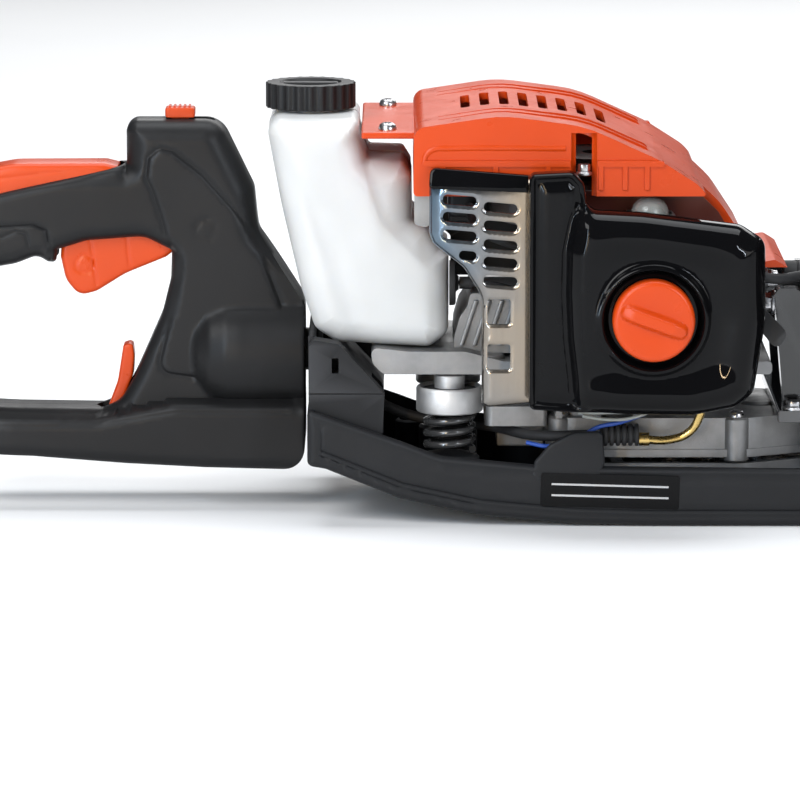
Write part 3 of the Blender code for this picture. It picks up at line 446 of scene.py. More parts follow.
PLACE_AS = {
    "X": lambda a, b, h: np.stack([h, a, b], -1),
    "Y": lambda a, b, h: np.stack([a, h, b], -1),
    "Z": lambda a, b, h: np.stack([a, b, h], -1),
}
TURN_TO = {
    "Z": Matrix.Identity(4),
    "-Z": Matrix.Rotation(pi, 4, "X"),
    "X": Matrix.Rotation(pi / 2, 4, "Y"),
    "-X": Matrix.Rotation(-pi / 2, 4, "Y"),
    "Y": Matrix.Rotation(-pi / 2, 4, "X"),
    "-Y": Matrix.Rotation(pi / 2, 4, "X"),
}
RINGS = (0.12, 0.5, 1.1, 2.0, 3.2, 4.8)
CREASE_ROWS = (-1.3, -0.6, 0.0, 0.6, 1.3)


def piece_of(name, verts, faces):
    """An object from vertices in millimetres, its faces pointing out."""
    mesh = bpy.data.meshes.new(name)
    mesh.from_pydata([tuple(float(c) * MM for c in v) for v in verts], [], faces)
    shape = bmesh.new()
    shape.from_mesh(mesh)
    bmesh.ops.remove_doubles(shape, verts=shape.verts, dist=1e-7)
    bmesh.ops.recalc_face_normals(shape, faces=shape.faces)
    shape.to_mesh(mesh)
    shape.free()
    piece = bpy.data.objects.new(name, mesh)
    piece.location = ORIGIN
    bpy.context.scene.collection.objects.link(piece)
    return piece


def beside(points, distance, closed):
    """The points moved sideways, to the left of the way the line runs."""
    line = np.array(points)
    ahead = np.roll(line, -1, 0) - np.roll(line, 1, 0)
    if not closed:
        ahead[0] = line[1] - line[0]
        ahead[-1] = line[-1] - line[-2]
    ahead /= np.maximum(np.linalg.norm(ahead, axis=1, keepdims=True), 1e-9)
    return line + distance * np.stack([-ahead[:, 1], ahead[:, 0]], 1)


def meshed(loops, pitch, rings, creases):
    """Triangles over an outline with holes, with rows of points along its edges and creases."""
    clear = rings[-1] + 0.5 * pitch if rings else 0
    extra = []
    for loop in loops:
        for distance in rings:
            for side in (distance, -distance):
                row = beside(loop, side, True)
                apart = np.min([near(row[:, 0], row[:, 1], other, True) for other in loops], axis=0)
                extra.append(row[inside(row[:, 0], row[:, 1], loops) & (apart > 0.9 * distance)])
    rows = [resampled(list(line), pitch, False) for line in creases]
    for line in rows:
        for distance in CREASE_ROWS:
            row = beside(line, distance, False)
            apart = np.min([near(row[:, 0], row[:, 1], other, True) for other in loops], axis=0)
            extra.append(row[inside(row[:, 0], row[:, 1], loops) & (apart > clear)])
    if pitch:
        corners = np.array(loops[0])
        low, high = corners.min(0), corners.max(0)
        across = np.arange(low[0], high[0], pitch)
        up = np.arange(low[1], high[1], pitch * 0.87)
        a, b = np.meshgrid(across, up)
        a = a + (np.arange(len(up)) % 2)[:, None] * pitch / 2
        a, b = a.ravel(), b.ravel()
        keep = inside(a, b, loops)
        a, b = a[keep], b[keep]
        keep = np.min([near(a, b, other, True) for other in loops], axis=0) > clear
        for line in rows:
            keep &= near(a, b, line) > CREASE_ROWS[-1] + 0.4 * pitch
        extra.append(np.stack([a[keep], b[keep]], 1))
    points, edges = [], []
    for loop in loops:
        first = len(points)
        points += [Vector(point) for point in loop]
        edges += [(first + k, first + (k + 1) % len(loop)) for k in range(len(loop))]
    for rows_of in extra:
        points += [Vector((float(x), float(y))) for x, y in rows_of]
    flat, _, triangles, *_ = delaunay_2d_cdt(points, edges, [], 0, 1e-4)
    flat = np.array([tuple(v) for v in flat])
    triangles = np.array([tuple(t) for t in triangles])
    middle = flat[triangles].mean(1)
    return flat, triangles[inside(middle[:, 0], middle[:, 1], loops)]


def relief(name, outline, front, back, holes=(), axis="Y", pitch=1.7, rings=RINGS, creases=()):
    """A body over an outline between two surfaces, each a function of place and of depth in from the edge."""
    loops = [points_of(loop) for loop in (outline, *holes)]
    if pitch:
        loops = [resampled(loop, 1.5 * pitch) for loop in loops]
    flat, triangles = meshed(loops, pitch, rings, creases)
    a, b = flat[:, 0], flat[:, 1]
    depth = np.min([near(a, b, loop, True) for loop in loops], axis=0)
    faces_at = [PLACE_AS[axis](a, b, np.broadcast_to(side(a, b, depth), a.shape)) for side in (front, back)]
    count = len(a)
    border = {}
    for triangle in triangles:
        for k in range(3):
            edge = (int(triangle[k]), int(triangle[(k + 1) % 3]))
            key = tuple(sorted(edge))
            border[key] = None if key in border else edge
    faces = [tuple(int(v) for v in t) for t in triangles]
    faces += [tuple(int(v) + count for v in t[::-1]) for t in triangles]
    faces += [(e[1], e[0], e[0] + count, e[1] + count) for e in border.values() if e]
    return piece_of(name, np.concatenate(faces_at), faces)


def prism(name, outline, low, high, axis="Y", holes=(), edge=0.0, segments=3):
    """A flat outline carried from low to high along an axis, with rounded edges."""
    made = relief(name, outline, lambda a, b, d: low, lambda a, b, d: high, holes, axis, 0, ())
    return soften(made, edge, segments) if edge else made


def block(name, low, high, edge=0.0, segments=3):
    return prism(name, oblong(low[::2], high[::2]), low[1], high[1], "Y", (), edge, segments)


def lathe(name, profile, centre, axis="Z", segments=64, closed=False):
    """A profile of (radius, height) turned about an axis, starting and ending on it unless it is closed."""
    verts, rows = [], []
    for radius, height in profile:
        if radius < 1e-6:
            rows.append([len(verts)] * segments)
            verts.append(Vector((0, 0, height)))
            continue
        rows.append(list(range(len(verts), len(verts) + segments)))
        verts += [Vector((x, y, height)) for x, y in circle(0, 0, radius, segments)]
    pairs = list(zip(rows, rows[1:]))
    if closed:
        pairs.append((rows[-1], rows[0]))
    faces = []
    for low, high in pairs:
        for k in range(segments):
            n = (k + 1) % segments
            corners = list(dict.fromkeys((low[k], low[n], high[n], high[k])))
            if len(corners) > 2:
                faces.append(tuple(corners))
    place = Matrix.Translation(centre) @ TURN_TO[axis]
    return piece_of(name, [place @ v for v in verts], faces)


def rod(name, start, length, radius, axis="Z", segments=40, chamfer=0.0):
    """A round bar from a start point, with broken edges."""
    c = chamfer
    profile = [(0, 0), (radius - c, 0), (radius, c), (radius, length - c), (radius - c, length), (0, length)]
    return lathe(name, profile if c else profile[:2] + profile[3:4] + profile[5:], start, axis, segments)


def tube(name, points, radius, sides=5, smooth=True, resolution=10):
    """A round bar along a line of points."""
    line = bpy.data.curves.new(name, "CURVE")
    line.dimensions = "3D"
    line.bevel_depth = radius
    line.bevel_resolution = sides
    line.use_fill_caps = True
    line.resolution_u = resolution
    if smooth:
        spline = line.splines.new("BEZIER")
        spline.bezier_points.add(len(points) - 1)
        for knot, point in zip(spline.bezier_points, points):
            knot.co = point
            knot.handle_left_type = "AUTO"
            knot.handle_right_type = "AUTO"
    else:
        spline = line.splines.new("POLY")
        spline.points.add(len(points) - 1)
        for knot, point in zip(spline.points, points):
            knot.co = (*point, 1)
    bar = bpy.data.objects.new(name + "_line", line)
    bpy.context.scene.collection.objects.link(bar)
    bpy.context.view_layer.update()
    mesh = bpy.data.meshes.new_from_object(bar.evaluated_get(bpy.context.evaluated_depsgraph_get()))
    bpy.data.objects.remove(bar)
    made = piece_of(name, [v.co for v in mesh.vertices], [tuple(p.vertices) for p in mesh.polygons])
    bpy.data.meshes.remove(mesh)
    return made


def soften(piece, width, segments=3, angle=40):
    bevel = piece.modifiers.new("soft_edges", "BEVEL")
    bevel.width = width * MM
    bevel.segments = segments
    bevel.limit_method = "ANGLE"
    bevel.angle_limit = radians(angle)
    return bake(piece)


def bake(piece):
    """Turns the piece's modifiers into its mesh."""
    bpy.context.view_layer.update()
    mesh = bpy.data.meshes.new_from_object(piece.evaluated_get(bpy.context.evaluated_depsgraph_get()))
    piece.modifiers.clear()
    piece.data = mesh
    return piece


def combine(piece, others, operation, solver):
    for other in others:
        step = piece.modifiers.new(operation.lower(), "BOOLEAN")
        step.operation = operation
        step.solver = solver
        step.object = other
    bake(piece)
    for other in others:
        bpy.data.objects.remove(other)
    return piece


def join(piece, *others, solver="EXACT"):
    return combine(piece, others, "UNION", solver)


def cut(piece, *others, solver="EXACT"):
    return combine(piece, others, "DIFFERENCE", solver)


def grouped(name, pieces):
    """Several loose bodies as one piece."""
    shape = bmesh.new()
    for piece in pieces:
        shape.from_mesh(piece.data)
        bpy.data.objects.remove(piece)
    mesh = bpy.data.meshes.new(name)
    shape.to_mesh(mesh)
    shape.free()
    made = bpy.data.objects.new(name, mesh)
    made.location = ORIGIN
    bpy.context.scene.collection.objects.link(made)
    return made


def place(piece, look, body="chassis", nodes=(), angle=38, even=False):
    """Finishes a piece and lets it ride on a body, standing for CAD nodes."""
    piece.data.materials.clear()
    piece.data.materials.append(LOOKS[look])
    for face in piece.data.polygons:
        face.material_index = 0
    piece.data.shade_smooth()
    piece.data.set_sharp_from_angle(angle=radians(angle))
    if even:
        weights = piece.modifiers.new("even_shading", "WEIGHTED_NORMAL")
        weights.keep_sharp = True
    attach(piece, body)
    if nodes:
        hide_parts(*nodes)
    return piece


def screw(name, point, axis, radius=3.4, height=2.4):
    """A domed screw head with a six-lobed socket."""
    dome = [(0, height), (radius * 0.55, height * 0.96), (radius * 0.85, height * 0.72),
        (radius, height * 0.3)]
    head = lathe(name, [(0, -1.2), (radius * 0.6, -1.2), (radius, 0)] + dome[::-1], point, axis, 32)
    lobes = [
        (radius * (0.46 + 0.10 * cos(6 * a)) * cos(a), radius * (0.46 + 0.10 * cos(6 * a)) * sin(a))
        for a in (2 * pi * k / 48 for k in range(48))
    ]
    socket = prism(name + "_socket", lobes, height * 0.3, height + 1, "Z")
    place_at = Matrix.Translation(Vector(point) * MM) @ TURN_TO[axis]
    socket.data.transform(place_at)
    return cut(head, socket)


def hex_bolt(name, point, axis, across=8.0, height=4.0, washer=6.5):
    """A flanged hexagon head with a shallow dish in its top."""
    hexagon = circle(0, 0, across / 2 / cos(pi / 6), 6)
    head = prism(name, hexagon, 0.9, height, "Z", edge=0.5, segments=2)
    join(head, rod(name + "_flange", (0, 0, -0.6), 1.7, washer, "Z", 40, 0.4))
    cut(head, lathe(name + "_dish", [(0, height - 0.5), (across * 0.28, height + 0.6), (0, height + 0.6)],
            (0, 0, 0)))
    head.data.transform(Matrix.Translation(Vector(point) * MM) @ TURN_TO[axis])
    return head


# -------------------------------------------------------------- rear handle

GRIP_HALF = 17.0
SKIRT_HALF = 26.0
PIVOT_Z = 72.5
JOINT_X = -0.9
HANDLE_OUTER = [
    (JOINT_X, 18.4, 11), (JOINT_X, 96, 14), (-22.5, 130, 10), (-24.5, 150, 10), (-40, 182, 12),
    (-84, 182, 6), (-84, 161.2, 1), (-136, 149.5, 30), (-181, 139, 22), (-195, 112, 22),
    (-193, 52, 24), (-172, 27, 16), (-128, 25.2, 30), (-85, 21.6, 20), (-48, 19.7, 30),
]
HANDLE_HOLE = [
    (-63, 121, 2), (-63.5, 108, 12), (-68, 90, 30), (-80.5, 61.9, 30), (-87.5, 49.5, 12), (-96, 45.8, 4),
    (-136, 46.4, 30), (-168, 48, 14), (-178, 64, 14), (-177, 98, 14), (-160, 110.5, 14), (-136, 114.6, 20),
    (-126, 118.5, 6), (-120.6, 115.2, 4), (-117.2, 115.4, 2.4), (-116.6, 121.2, 1), (-103, 125.5, 12),
    (-76, 127.5, 14),
]
SKIRT = [
    (30, 17.6, 6), (30, 50.5, 2), (-62, 51, 8), (-97, 43.8, 10), (-150, 44.6, 20), (-183, 46.5, 6),
    (-186, 34, 14), (-172, 25.6, 10), (-128, 24.6, 20), (-85, 21.4, 20), (-48, 19.4, 20),
]
BARREL_X = (-57, -55.6, -52, -46, -38, -32)
BARREL_R = (0, 12, 20, 25, 27.6, 28)
A_PANEL = [
    (-62, 168, 4), (-68.5, 169.4, 4), (-73.4, 165, 3), (-74.5, 156, 4), (-71.3, 148.9, 8), (-67.6, 137.2, 12),
    (-64.6, 125, 4), (-58, 117, 8), (-61, 100, 30), (-66, 80, 30), (-70, 64, 6), (-40, 60, 2), (-12, 60, 2),
    (-12, 96, 4), (-16.1, 106.8, 20), (-21.6, 120.9, 20), (-27.6, 132.5, 12), (-34.5, 141.9, 12),
    (-48.3, 157.3, 10),
]
A_PANEL_LINE = rounded(A_PANEL)
PAD_SEAM = [(-196, 134), (-172, 131), (-127.5, 133.5), (-121.5, 131), (-120.2, 124), (-119.6, 114)]
PAD_ARC = [(-178, 128.5), (-142, 127.6), (-135.5, 130.5), (-131, 129.5), (-129.5, 124)]
SKIRT_LINE = [(-176, 40.6), (-128, 39.6), (-99, 40.0), (-62, 46.4), (-2.6, 46.2)]
hole_line = rounded(HANDLE_HOLE)
outer_line = rounded([(30 if x == JOINT_X else x, z, r) for x, z, r in HANDLE_OUTER])


def handle_height(x, z, depth):
    """How far the outer face of the handle stands from the middle plane."""
    lockout_top = ramp(z, 122, 134) * ramp(-x, 83, 88) * ramp(x, -178, -168)
    outer = fillet(near(x, z, outer_line, True), 11 - 7 * lockout_top)
    hole = fillet(near(x, z, hole_line, True), 6.5)
    grip = GRIP_HALF - np.maximum(outer, hole)
    grip = grip + 0.9 * ramp(depth_in(x, z, A_PANEL), -0.7, 0.7) - 0.9
    grip = grip - 0.9 * groove(x, z, A_PANEL_LINE + A_PANEL_LINE[:1], 0.8)
    grip = grip - 0.8 * groove(x, z, PAD_SEAM, 0.6) - 0.5 * groove(x, z, PAD_ARC, 0.6)
    grip = grip - 1.4 * ramp(-x, 83.4, 84.4) * ramp(z, 150, 156)
    grip = grip - 0.5 * np.exp(-((np.hypot(x + 46.9, z - 131.6) - 4.6) / 0.5) ** 2)
    skirt_depth = depth_in(x, z, SKIRT)
    skirt = SKIRT_HALF - 7 * ramp(-x, 136, 186) - fillet(skirt_depth, 6) - 0.5 * groove(x, z, SKIRT_LINE, 0.6)
    skirt = np.where(skirt_depth > 0, skirt, 0)
    radius = np.interp(x, BARREL_X, BARREL_R)
    round_part = np.sqrt(np.maximum(radius**2 - (z - PIVOT_Z) ** 2, 0))
    height = blended(blended(grip, skirt, 1.4), round_part, 1.0)
    return height - fillet(JOINT_X - x, 1.0)


def handle_inner(x, z, depth):
    """How far the inner face stands off: a seam gap, and room for what works between the halves."""
    room = np.full(x.shape, FINE / 2)
    for low, high, half in (
        ((-118, 106), (-58, 137), 9.5), ((-170, 129), (-85, 168), 12.5), ((-99.5, 32), (-79, 81), 6.7),
        ((-66.5, 171), (-43.5, 187), 3.4),
    ):
        room = np.where((x > low[0]) & (x < high[0]) & (z > low[1]) & (z < high[1]), half, room)
    bore = np.sqrt(np.maximum(10.6**2 - (z - PIVOT_Z) ** 2, 0)) * (x > -50)
    hollow = 14.4 * ramp(depth, 2.4, 3.0) * (x < -57)
    room = np.maximum(np.maximum(room, bore), hollow)
    return np.minimum(room, handle_height(x, z, depth) - 1.0)


HANDLE_CREASES = (A_PANEL_LINE + A_PANEL_LINE[:1], PAD_SEAM, PAD_ARC, SKIRT_LINE)
for side, word in ((-1, "right"), (1, "left")):
    half = relief(
        f"handle_half_{word}", HANDLE_OUTER,
        lambda x, z, d, s=side: s * handle_height(x, z, d), lambda x, z, d, s=side: s * handle_inner(x, z, d),
        holes=[HANDLE_HOLE], creases=HANDLE_CREASES, pitch=1.9,
    )
    place(half, "satin_black_plastic", "rear_handle", [f"rear_handle_{word}"], angle=60)
    heads = []
    for k, (x, z, y) in enumerate(
        ((-150, 36, 17.4), (-178, 118, 17.1), (-50, 142, 16.9), (-186, 60, 13.2), (-104, 141, 16.1))
    ):
        heads.append(screw(f"handle_screw_{word}_{k}", (x, side * (y - 1.9), z), "Y" if side > 0 else "-Y",
                2.9, 1.9))
    place(grouped(f"handle_screws_{word}", heads), "black_painted_steel", "rear_handle")

TRIGGER = [
    (-115, 121.8, 2), (-115.3, 117.5, 3), (-113, 106.5, 12), (-106.8, 98.9, 8), (-98.5, 101.0, 12),
    (-85.1, 109.4, 30), (-66, 117.2, 3), (-62.3, 120, 2), (-62.6, 126.5, 3), (-75, 129.5, 5),
    (-104, 129, 5), (-113, 126, 3),
]
TRIGGER_LINES = ([(-101.5, 127.5), (-98.5, 103.5)], [(-84.5, 128), (-83, 112)])


def trigger_height(x, z, depth):
    height = 9 - fillet(depth, 2.4)
    for line in TRIGGER_LINES:
        height = height - 0.45 * groove(x, z, line, 0.5)
    return height - 0.5 * np.exp(-((np.hypot(x + 104, z - 114) - 4.2) / 0.5) ** 2)


trigger = relief(
    "trigger", TRIGGER, lambda x, z, d: -trigger_height(x, z, d), trigger_height, pitch=1.2,
    rings=(0.1, 0.4, 0.9, 1.6, 2.4), creases=TRIGGER_LINES,
)
place(trigger, "orange_plastic", "trigger", ["throttle_trigger"], angle=60)

LOCKOUT = [
    (-87.8, 160.3, 1), (-94, 161.8, 6), (-136, 161.6, 30), (-158, 157.5, 8), (-167.5, 146, 4),
    (-167, 136.5, 3), (-140, 141, 20), (-100, 150.8, 10), (-86.8, 152.5, 3),
]
LOCKOUT_LINE = [(-164, 149), (-150, 154), (-120, 157.5), (-92, 158)]


def lockout_height(x, z, depth):
    return 12 - fillet(depth, 3.4) - 0.35 * groove(x, z, LOCKOUT_LINE, 0.5)


lockout = relief(
    "lockout_lever", LOCKOUT, lambda x, z, d: -lockout_height(x, z, d), lockout_height, pitch=1.4,
    rings=(0.1, 0.4, 0.9, 1.6, 2.4, 3.4), creases=[LOCKOUT_LINE],
)
place(lockout, "orange_plastic", "lockout", ["throttle_lockout"], angle=60)

LOCK_LEVER = [
    (-94, 45, 2), (-89.2, 57.7, 20), (-86.4, 75, 1.5), (-82, 76.4, 2), (-81.2, 70, 3), (-81.8, 61, 8),
    (-85.8, 51, 8), (-87.2, 45.5, 2), (-85.5, 34, 3), (-94.5, 34, 3),
]
lock_lever = relief(
    "swivel_lock_lever", LOCK_LEVER, lambda x, z, d: -6 + fillet(d, 1.3), lambda x, z, d: 6 - fillet(d, 1.3),
    pitch=1.0, rings=(0.1, 0.35, 0.8, 1.3),
)
place(lock_lever, "orange_plastic", "lock_lever", ["handle_lock_lever"], angle=60)

switch = block("slide_switch", (-66, -5, 182.4), (-52, 5, 187.2), 1.2)
ridges = [block(f"switch_ridge_{k}", (-64.4 + 2.3 * k, -4.2, 186.4), (-63.2 + 2.3 * k, 4.2, 188), 0.4, 2)
    for k in range(5)]
join(switch, block("switch_stem", (-63, -2.5, 174), (-55, 2.5, 183)), *ridges)
place(switch, "orange_plastic", "switch", ["stop_switch"], even=True)


# --------------------------------------------------------------------- hull

HULL_HALF = 65.0
HULL_FRONT = 296.0
SKIN = 3.0
HULL_SIDE = [
    (0.9, 28, 3), (9.2, 26.6, 3), (43.7, 12.6, 30), (80, 4.8, 40), (124, 0.8, 40), (160, 0, 30),
    (HULL_FRONT, 0, 8), (HULL_FRONT, 26, 3), (110, 28.1, 20), (62, 32.7, 20), (43.7, 39.7, 14),
    (6.9, 52.4, 4),
    (0.9, 54, 2),
]
HULL_CAVITY = [
    (4, 31, 3), (10, 29.6, 3), (44.5, 15.6, 30), (80.5, 7.8, 40), (124.5, 3.8, 40), (160, 3, 30),
    (HULL_FRONT - 3, 3, 5), (HULL_FRONT - 3, 100, 0), (4, 100, 0),
]
TOWER = [(1.2, 30, 0), (1.2, 85.5, 1), (4.5, 85.5, 1), (4.5, 77.5, 0), (14, 77.5, 5), (36, 54, 4),
    (36, 40, 0), (20, 30, 0)]
CHEEK = [(1.7, 31, 0), (1.7, 86.2, 3), (15.5, 84, 4), (36.6, 60.5, 3), (35, 31, 0)]
FIN = [(104, 22, 0), (105.8, 30.4, 2), (112.7, 38.3, 8), (124, 44.2, 10), (137, 44.4, 3), (138.2, 30, 2),
    (136, 23, 6), (128, 20, 0)]
REAR_SPRING = (66.7, 40.0)
FRONT_SPRING = (252.0, 44.0)
LABEL = slot(140.6, 16.6, 64, 15.6, -1.6)
UNDER_LINE = [(3, 33.5), (10, 31.6), (45, 17.4), (81, 9.6), (125, 5.6), (160, 4.6), (HULL_FRONT - 4, 4.6)]
UNDER_LINE_2 = [(x, z + 2.6) for x, z in UNDER_LINE]
RIM_LINE = [(4, 49.6), (8, 48.6), (44.6, 35.8), (62, 29.2), (110, 24.6), (HULL_FRONT - 3, 22.6)]
END_LINE = [(7.4, 50.5), (7.4, 31)]

tub = prism("hull_tub", HULL_SIDE, -(HULL_HALF - SKIN), HULL_HALF - SKIN, "Y", (), 0.6, 2)
cut(tub, prism("hull_hollow", HULL_CAVITY, -(HULL_HALF - SKIN - 0.4), HULL_HALF - SKIN - 0.4))
join(tub, prism("hull_tower", TOWER, -42, 42, edge=2))
for side in (-1, 1):
    join(tub, prism(f"hull_cheek_{side}", CHEEK, *sorted((side * 46, side * 57)), edge=1.8))
    for (x, y), low, high in ((REAR_SPRING, 10, 29.5), (FRONT_SPRING, 1.5, 21.5)):
        join(tub, rod(f"hull_post_{x}_{side}", (x, side * y, low), high - low, 14, chamfer=1.2))
cut(
    tub,
    prism("tower_hollow", [(4, 26, 0), (4, 74, 2), (13, 74, 3), (32.5, 53, 3), (32.5, 26, 0)], -38, 38),
    rod("bearing_hole", (-4, 0, PIVOT_Z), 9.5, 10.4, "X"),
    rod("bearing_seat", (4.5, 0, PIVOT_Z), 8, 13.6, "X"),
    block("cable_way", (20, -20, 36), (44, 6, 60)),
    block("blade_opening", (HULL_FRONT - 8, -46, 9), (HULL_FRONT + 4, 46, 40)),
    *[block(f"cheek_slot_{s}", (12.2, min(s * 44, s * 60), 70.2), (15.4, max(s * 44, s * 60), 77.4), 0.5, 2)
        for s in (-1, 1)],
    *[block(f"cheek_seam_{s}", (0, min(s * 56.4, s * 58), 60.3), (37, max(s * 56.4, s * 58), 61.1))
        for s in (-1, 1)],
)
place(tub, "hull_grey_plastic", "chassis", ["hull"], even=True)


def hull_face(x, z, depth):
    """How far the hull's side stands from its middle plane."""
    height = HULL_HALF - fillet(depth, 3.2)
    height = height - 1.0 * groove(x, z, UNDER_LINE, 0.6) - 0.9 * groove(x, z, UNDER_LINE_2, 0.6)
    height = height - 0.9 * groove(x, z, RIM_LINE, 0.7) - 0.5 * groove(x, z, END_LINE, 0.5)
    return height - 0.35 * ramp(depth_in(x, z, LABEL), -0.6, 0.2)


for side, word in ((-1, "right"), (1, "left")):
    skin = relief(
        f"hull_side_{word}", HULL_SIDE, lambda x, z, d, s=side: s * hull_face(x, z, d),
        lambda x, z, d, s=side: s * (HULL_HALF - SKIN - 0.3), pitch=2.6, rings=(0.1, 0.4, 0.9, 1.7, 2.6, 3.6),
        creases=(UNDER_LINE, UNDER_LINE_2, RIM_LINE, END_LINE),
    )
    place(skin, "hull_grey_plastic", "chassis", angle=60)

fin = relief(
    "hull_fin", FIN, lambda x, z, d: -HULL_HALF + 0.3 + fillet(d, 1.4), lambda x, z, d: -HULL_HALF + 3.6
    - fillet(d, 1.2),
    pitch=1.8, rings=(0.1, 0.4, 0.9, 1.4),
)
place(fin, "hull_grey_plastic", angle=60)
label = relief(
    "blank_label", [(x, z, 1.2) for x, z, _ in LABEL], lambda x, z, d: -HULL_HALF - 0.05,
    lambda x, z, d: -HULL_HALF + 0.5, pitch=0, rings=(),
)
place(label, "label_film")
rules = [
    prism(f"label_rule_{k}", [(x, z, 0) for x, z, _ in slot(140.6, z, 54, 0.9, -1.6)], -HULL_HALF - 0.12,
        -HULL_HALF + 0.3)
    for k, z in enumerate((19.2, 14.0))
]
place(grouped("label_rules", rules), "label_mark")

feet = [
    screw(f"hull_screw_{side}_{k}", (x, side * (HULL_HALF - 1.6), z), "Y" if side > 0 else "-Y", 3.4, 1.6)
    for side in (-1, 1) for k, (x, z) in enumerate(((230, 12), (282, 12)))
]
place(grouped("hull_screws", feet), "black_painted_steel")

bearing = lathe(
    "swivel_bearing",
    [(6.5, 7.4), (12.1, 7.4), (12.5, 7.0), (12.5, 4.9), (10, 4.9), (10, -4.2), (17.6, -4.2), (18, -4.6),
     (18, -6.8), (17.6, -7.2), (10, -7.2), (10, -29.4), (9.4, -30), (6.5, -30)],
    (0, 0, PIVOT_Z), "X", closed=True,
)
place(bearing, "satin_black_plastic", "chassis", ["handle_bearing"])

for end, (x, y), low, high, turns in (("rear", REAR_SPRING, 31.6, 56.2, 4.5),
    ("front", FRONT_SPRING, 23.6, 45.2, 4)):
    for side, word in ((-1, "right"), (1, "left")):
        count = int(turns * 28)
        coil = [
            (x + 10.75 * cos(2 * pi * k / 28), side * y + 10.75 * sin(2 * pi * k / 28), low + (high - low)
                * k / count)
            for k in range(count + 1)
        ]
        spring = tube(f"damper_spring_{end}_{word}", coil, 1.75, 3, False)
        place(spring, "black_painted_steel", "chassis", [f"av_spring_{end}_{word}"], angle=60)

for side, word in ((-1, "right"), (1, "left")):
    centre = (REAR_SPRING[0], side * REAR_SPRING[1], 0)
    cup = lathe(
        f"damper_cup_{word}",
        [(0, 67.1), (6.6, 67.1), (7, 66.7), (7, 60.2), (12.2, 59.6), (13.2, 60.4), (13.6, 61.6), (14.4, 62),
         (15.1, 61.5), (15.5, 60.6), (15.5, 50.8), (15.1, 50.2), (14.5, 50), (13.5, 50), (13.5, 57.6),
         (0, 57.6)],
        centre,
    )
    place(cup, "bright_cast", "chassis", [f"av_cup_{word}"])
    core = lathe(f"damper_core_{word}", [(7.2, 61.2), (12.4, 60.6), (12.4, 59.2), (7.2, 59.2)], centre,
        closed=True)
    place(core, "black_rubber")
    bright = screw(f"hull_floor_screw_{word}", (48, side * 50, 30), "Z", 4.6, 3.4)
    base = rod(f"hull_floor_boss_{word}", (48, side * 50, 12), 18, 6.5, chamfer=0.8)
    place(base, "hull_grey_plastic")
    place(bright, "black_painted_steel")


# -------------------------------------------------------------- crankcase

CRANK_X = 136.0
BORE_Z = 105.0
ROD_SWING_HALF = 22.5
ARM = [(30, 80.5, 3), (31, 73, 5), (36, 68, 4), (216, 68, 2), (216, 74, 2), (92, 74, 6), (74, 78.6, 6),
    (48, 78.6, 4)]
lower_case = prism("engine_bed", ARM, -46, 46, "Y", (), 2.0, 3)
join(
    lower_case,
    rod("bed_round", (CRANK_X, 0, 67.3), BORE_Z - FINE / 2 - 67.3, 31.6, "Z", 72, 0.5),
    block("bed_face", (CRANK_X, -29.5, 70), (168, 29.5, BORE_Z - FINE / 2), 1.0, 2),
    *[rod(f"bed_boss_{s}", (86, s * 38, 66.8), 9.4, 6, "Z", 32, 0.6) for s in (-1, 1)],
    *[block(f"bed_rib_{s}_{k}", (x, min(s * 28, s * 44), 73), (x + 3, max(s * 28, s * 44), 78), 0.8, 2)
      for s in (-1, 1) for k, x in enumerate((100, 152, 180, 206))],
)
upper_case = rod("crankcase_cap", (CRANK_X, 0, BORE_Z + FINE / 2), 26, 31.6, "Z", 72, 0.5)
join(
    upper_case,
    block("cap_face", (CRANK_X, -29.5, BORE_Z + FINE / 2), (168, 29.5, 127), 1.0, 2),
    *[rod(f"cap_boss_{s}_{x}", (x, s * 27.4, BORE_Z + 0.4), 12, 4.6, "Z", 28, 0.5) for s in (-1, 1)
        for x in (118, 158)],
)
for case, word in ((lower_case, "lower"), (upper_case, "upper")):
    cut(
        case,
        rod(f"{word}_chamber", (CRANK_X, 0, 80), 42, 26, "Z", 64),
        rod(f"{word}_bore", (CRANK_X, 0, 60), 80, 6.5),
        rod(f"{word}_throat", (150, 0, BORE_Z), 25, 17.3, "X", 48),
        block(f"{word}_rod_way", (145, -ROD_SWING_HALF, BORE_Z - 3.5), (165, ROD_SWING_HALF, BORE_Z + 3.5),
            0),
    )
    place(case, "cast_aluminium", "chassis", [f"crankcase_{word}"], even=True)

WALL_SIDE = [(68.5, 76, 0), (69, 84, 6), (71.6, 93, 6), (75, 98, 6), (76.4, 104, 2), (112, 104, 0),
    (112, 76, 0)]
wall = prism("bed_wall", WALL_SIDE, -33.6, 33.6, "Y", (), 1.6, 3)
join(wall, *[
    prism(f"wall_rib_{s}_{k}", [(x, 79.5, 0), (x + 2.2, 79.5, 0), (x + 9.2, 101, 0), (x + 7, 101, 0)],
        *sorted((s * 32, s * 35.4)), "Y", (), 0.7, 2)
    for s in (-1, 1) for k, x in enumerate((71, 77, 83, 89))
])
cut(wall, rod("wall_clearance", (CRANK_X, 0, 60), 60, 31.9, "Z", 72))
place(wall, "cast_aluminium", even=True)
heel = prism("gearbox_heel", [(83, -43.6, 4), (112, -43.6, 2), (112, 43.6, 2), (83, 43.6, 4)], 43.2, 52.4,
    "Z", (), 1.2, 3)
join(heel, block("heel_web", (89, -18, 29), (111, 18, 44), 1.0, 2))
place(heel, "cast_aluminium", even=True)
# A black sheet behind the vents and beside the tank, standing for the shaded engine bay seen through them:
# painted shade.
VENT_SHADE_SCREEN = [
    (67.5, 105, 2), (103, 105, 2), (103, 134, 2), (88, 134, 2), (88, 153, 2), (63.5, 153, 2),
    (63.5, 127.5, 2),
    (67.5, 124, 2),
]
shade_screen = prism("vent_shade_screen", VENT_SHADE_SCREEN, 17.2, 19.2, "Y", (), 0.6, 2)
place(shade_screen, "satin_black_plastic", even=True)

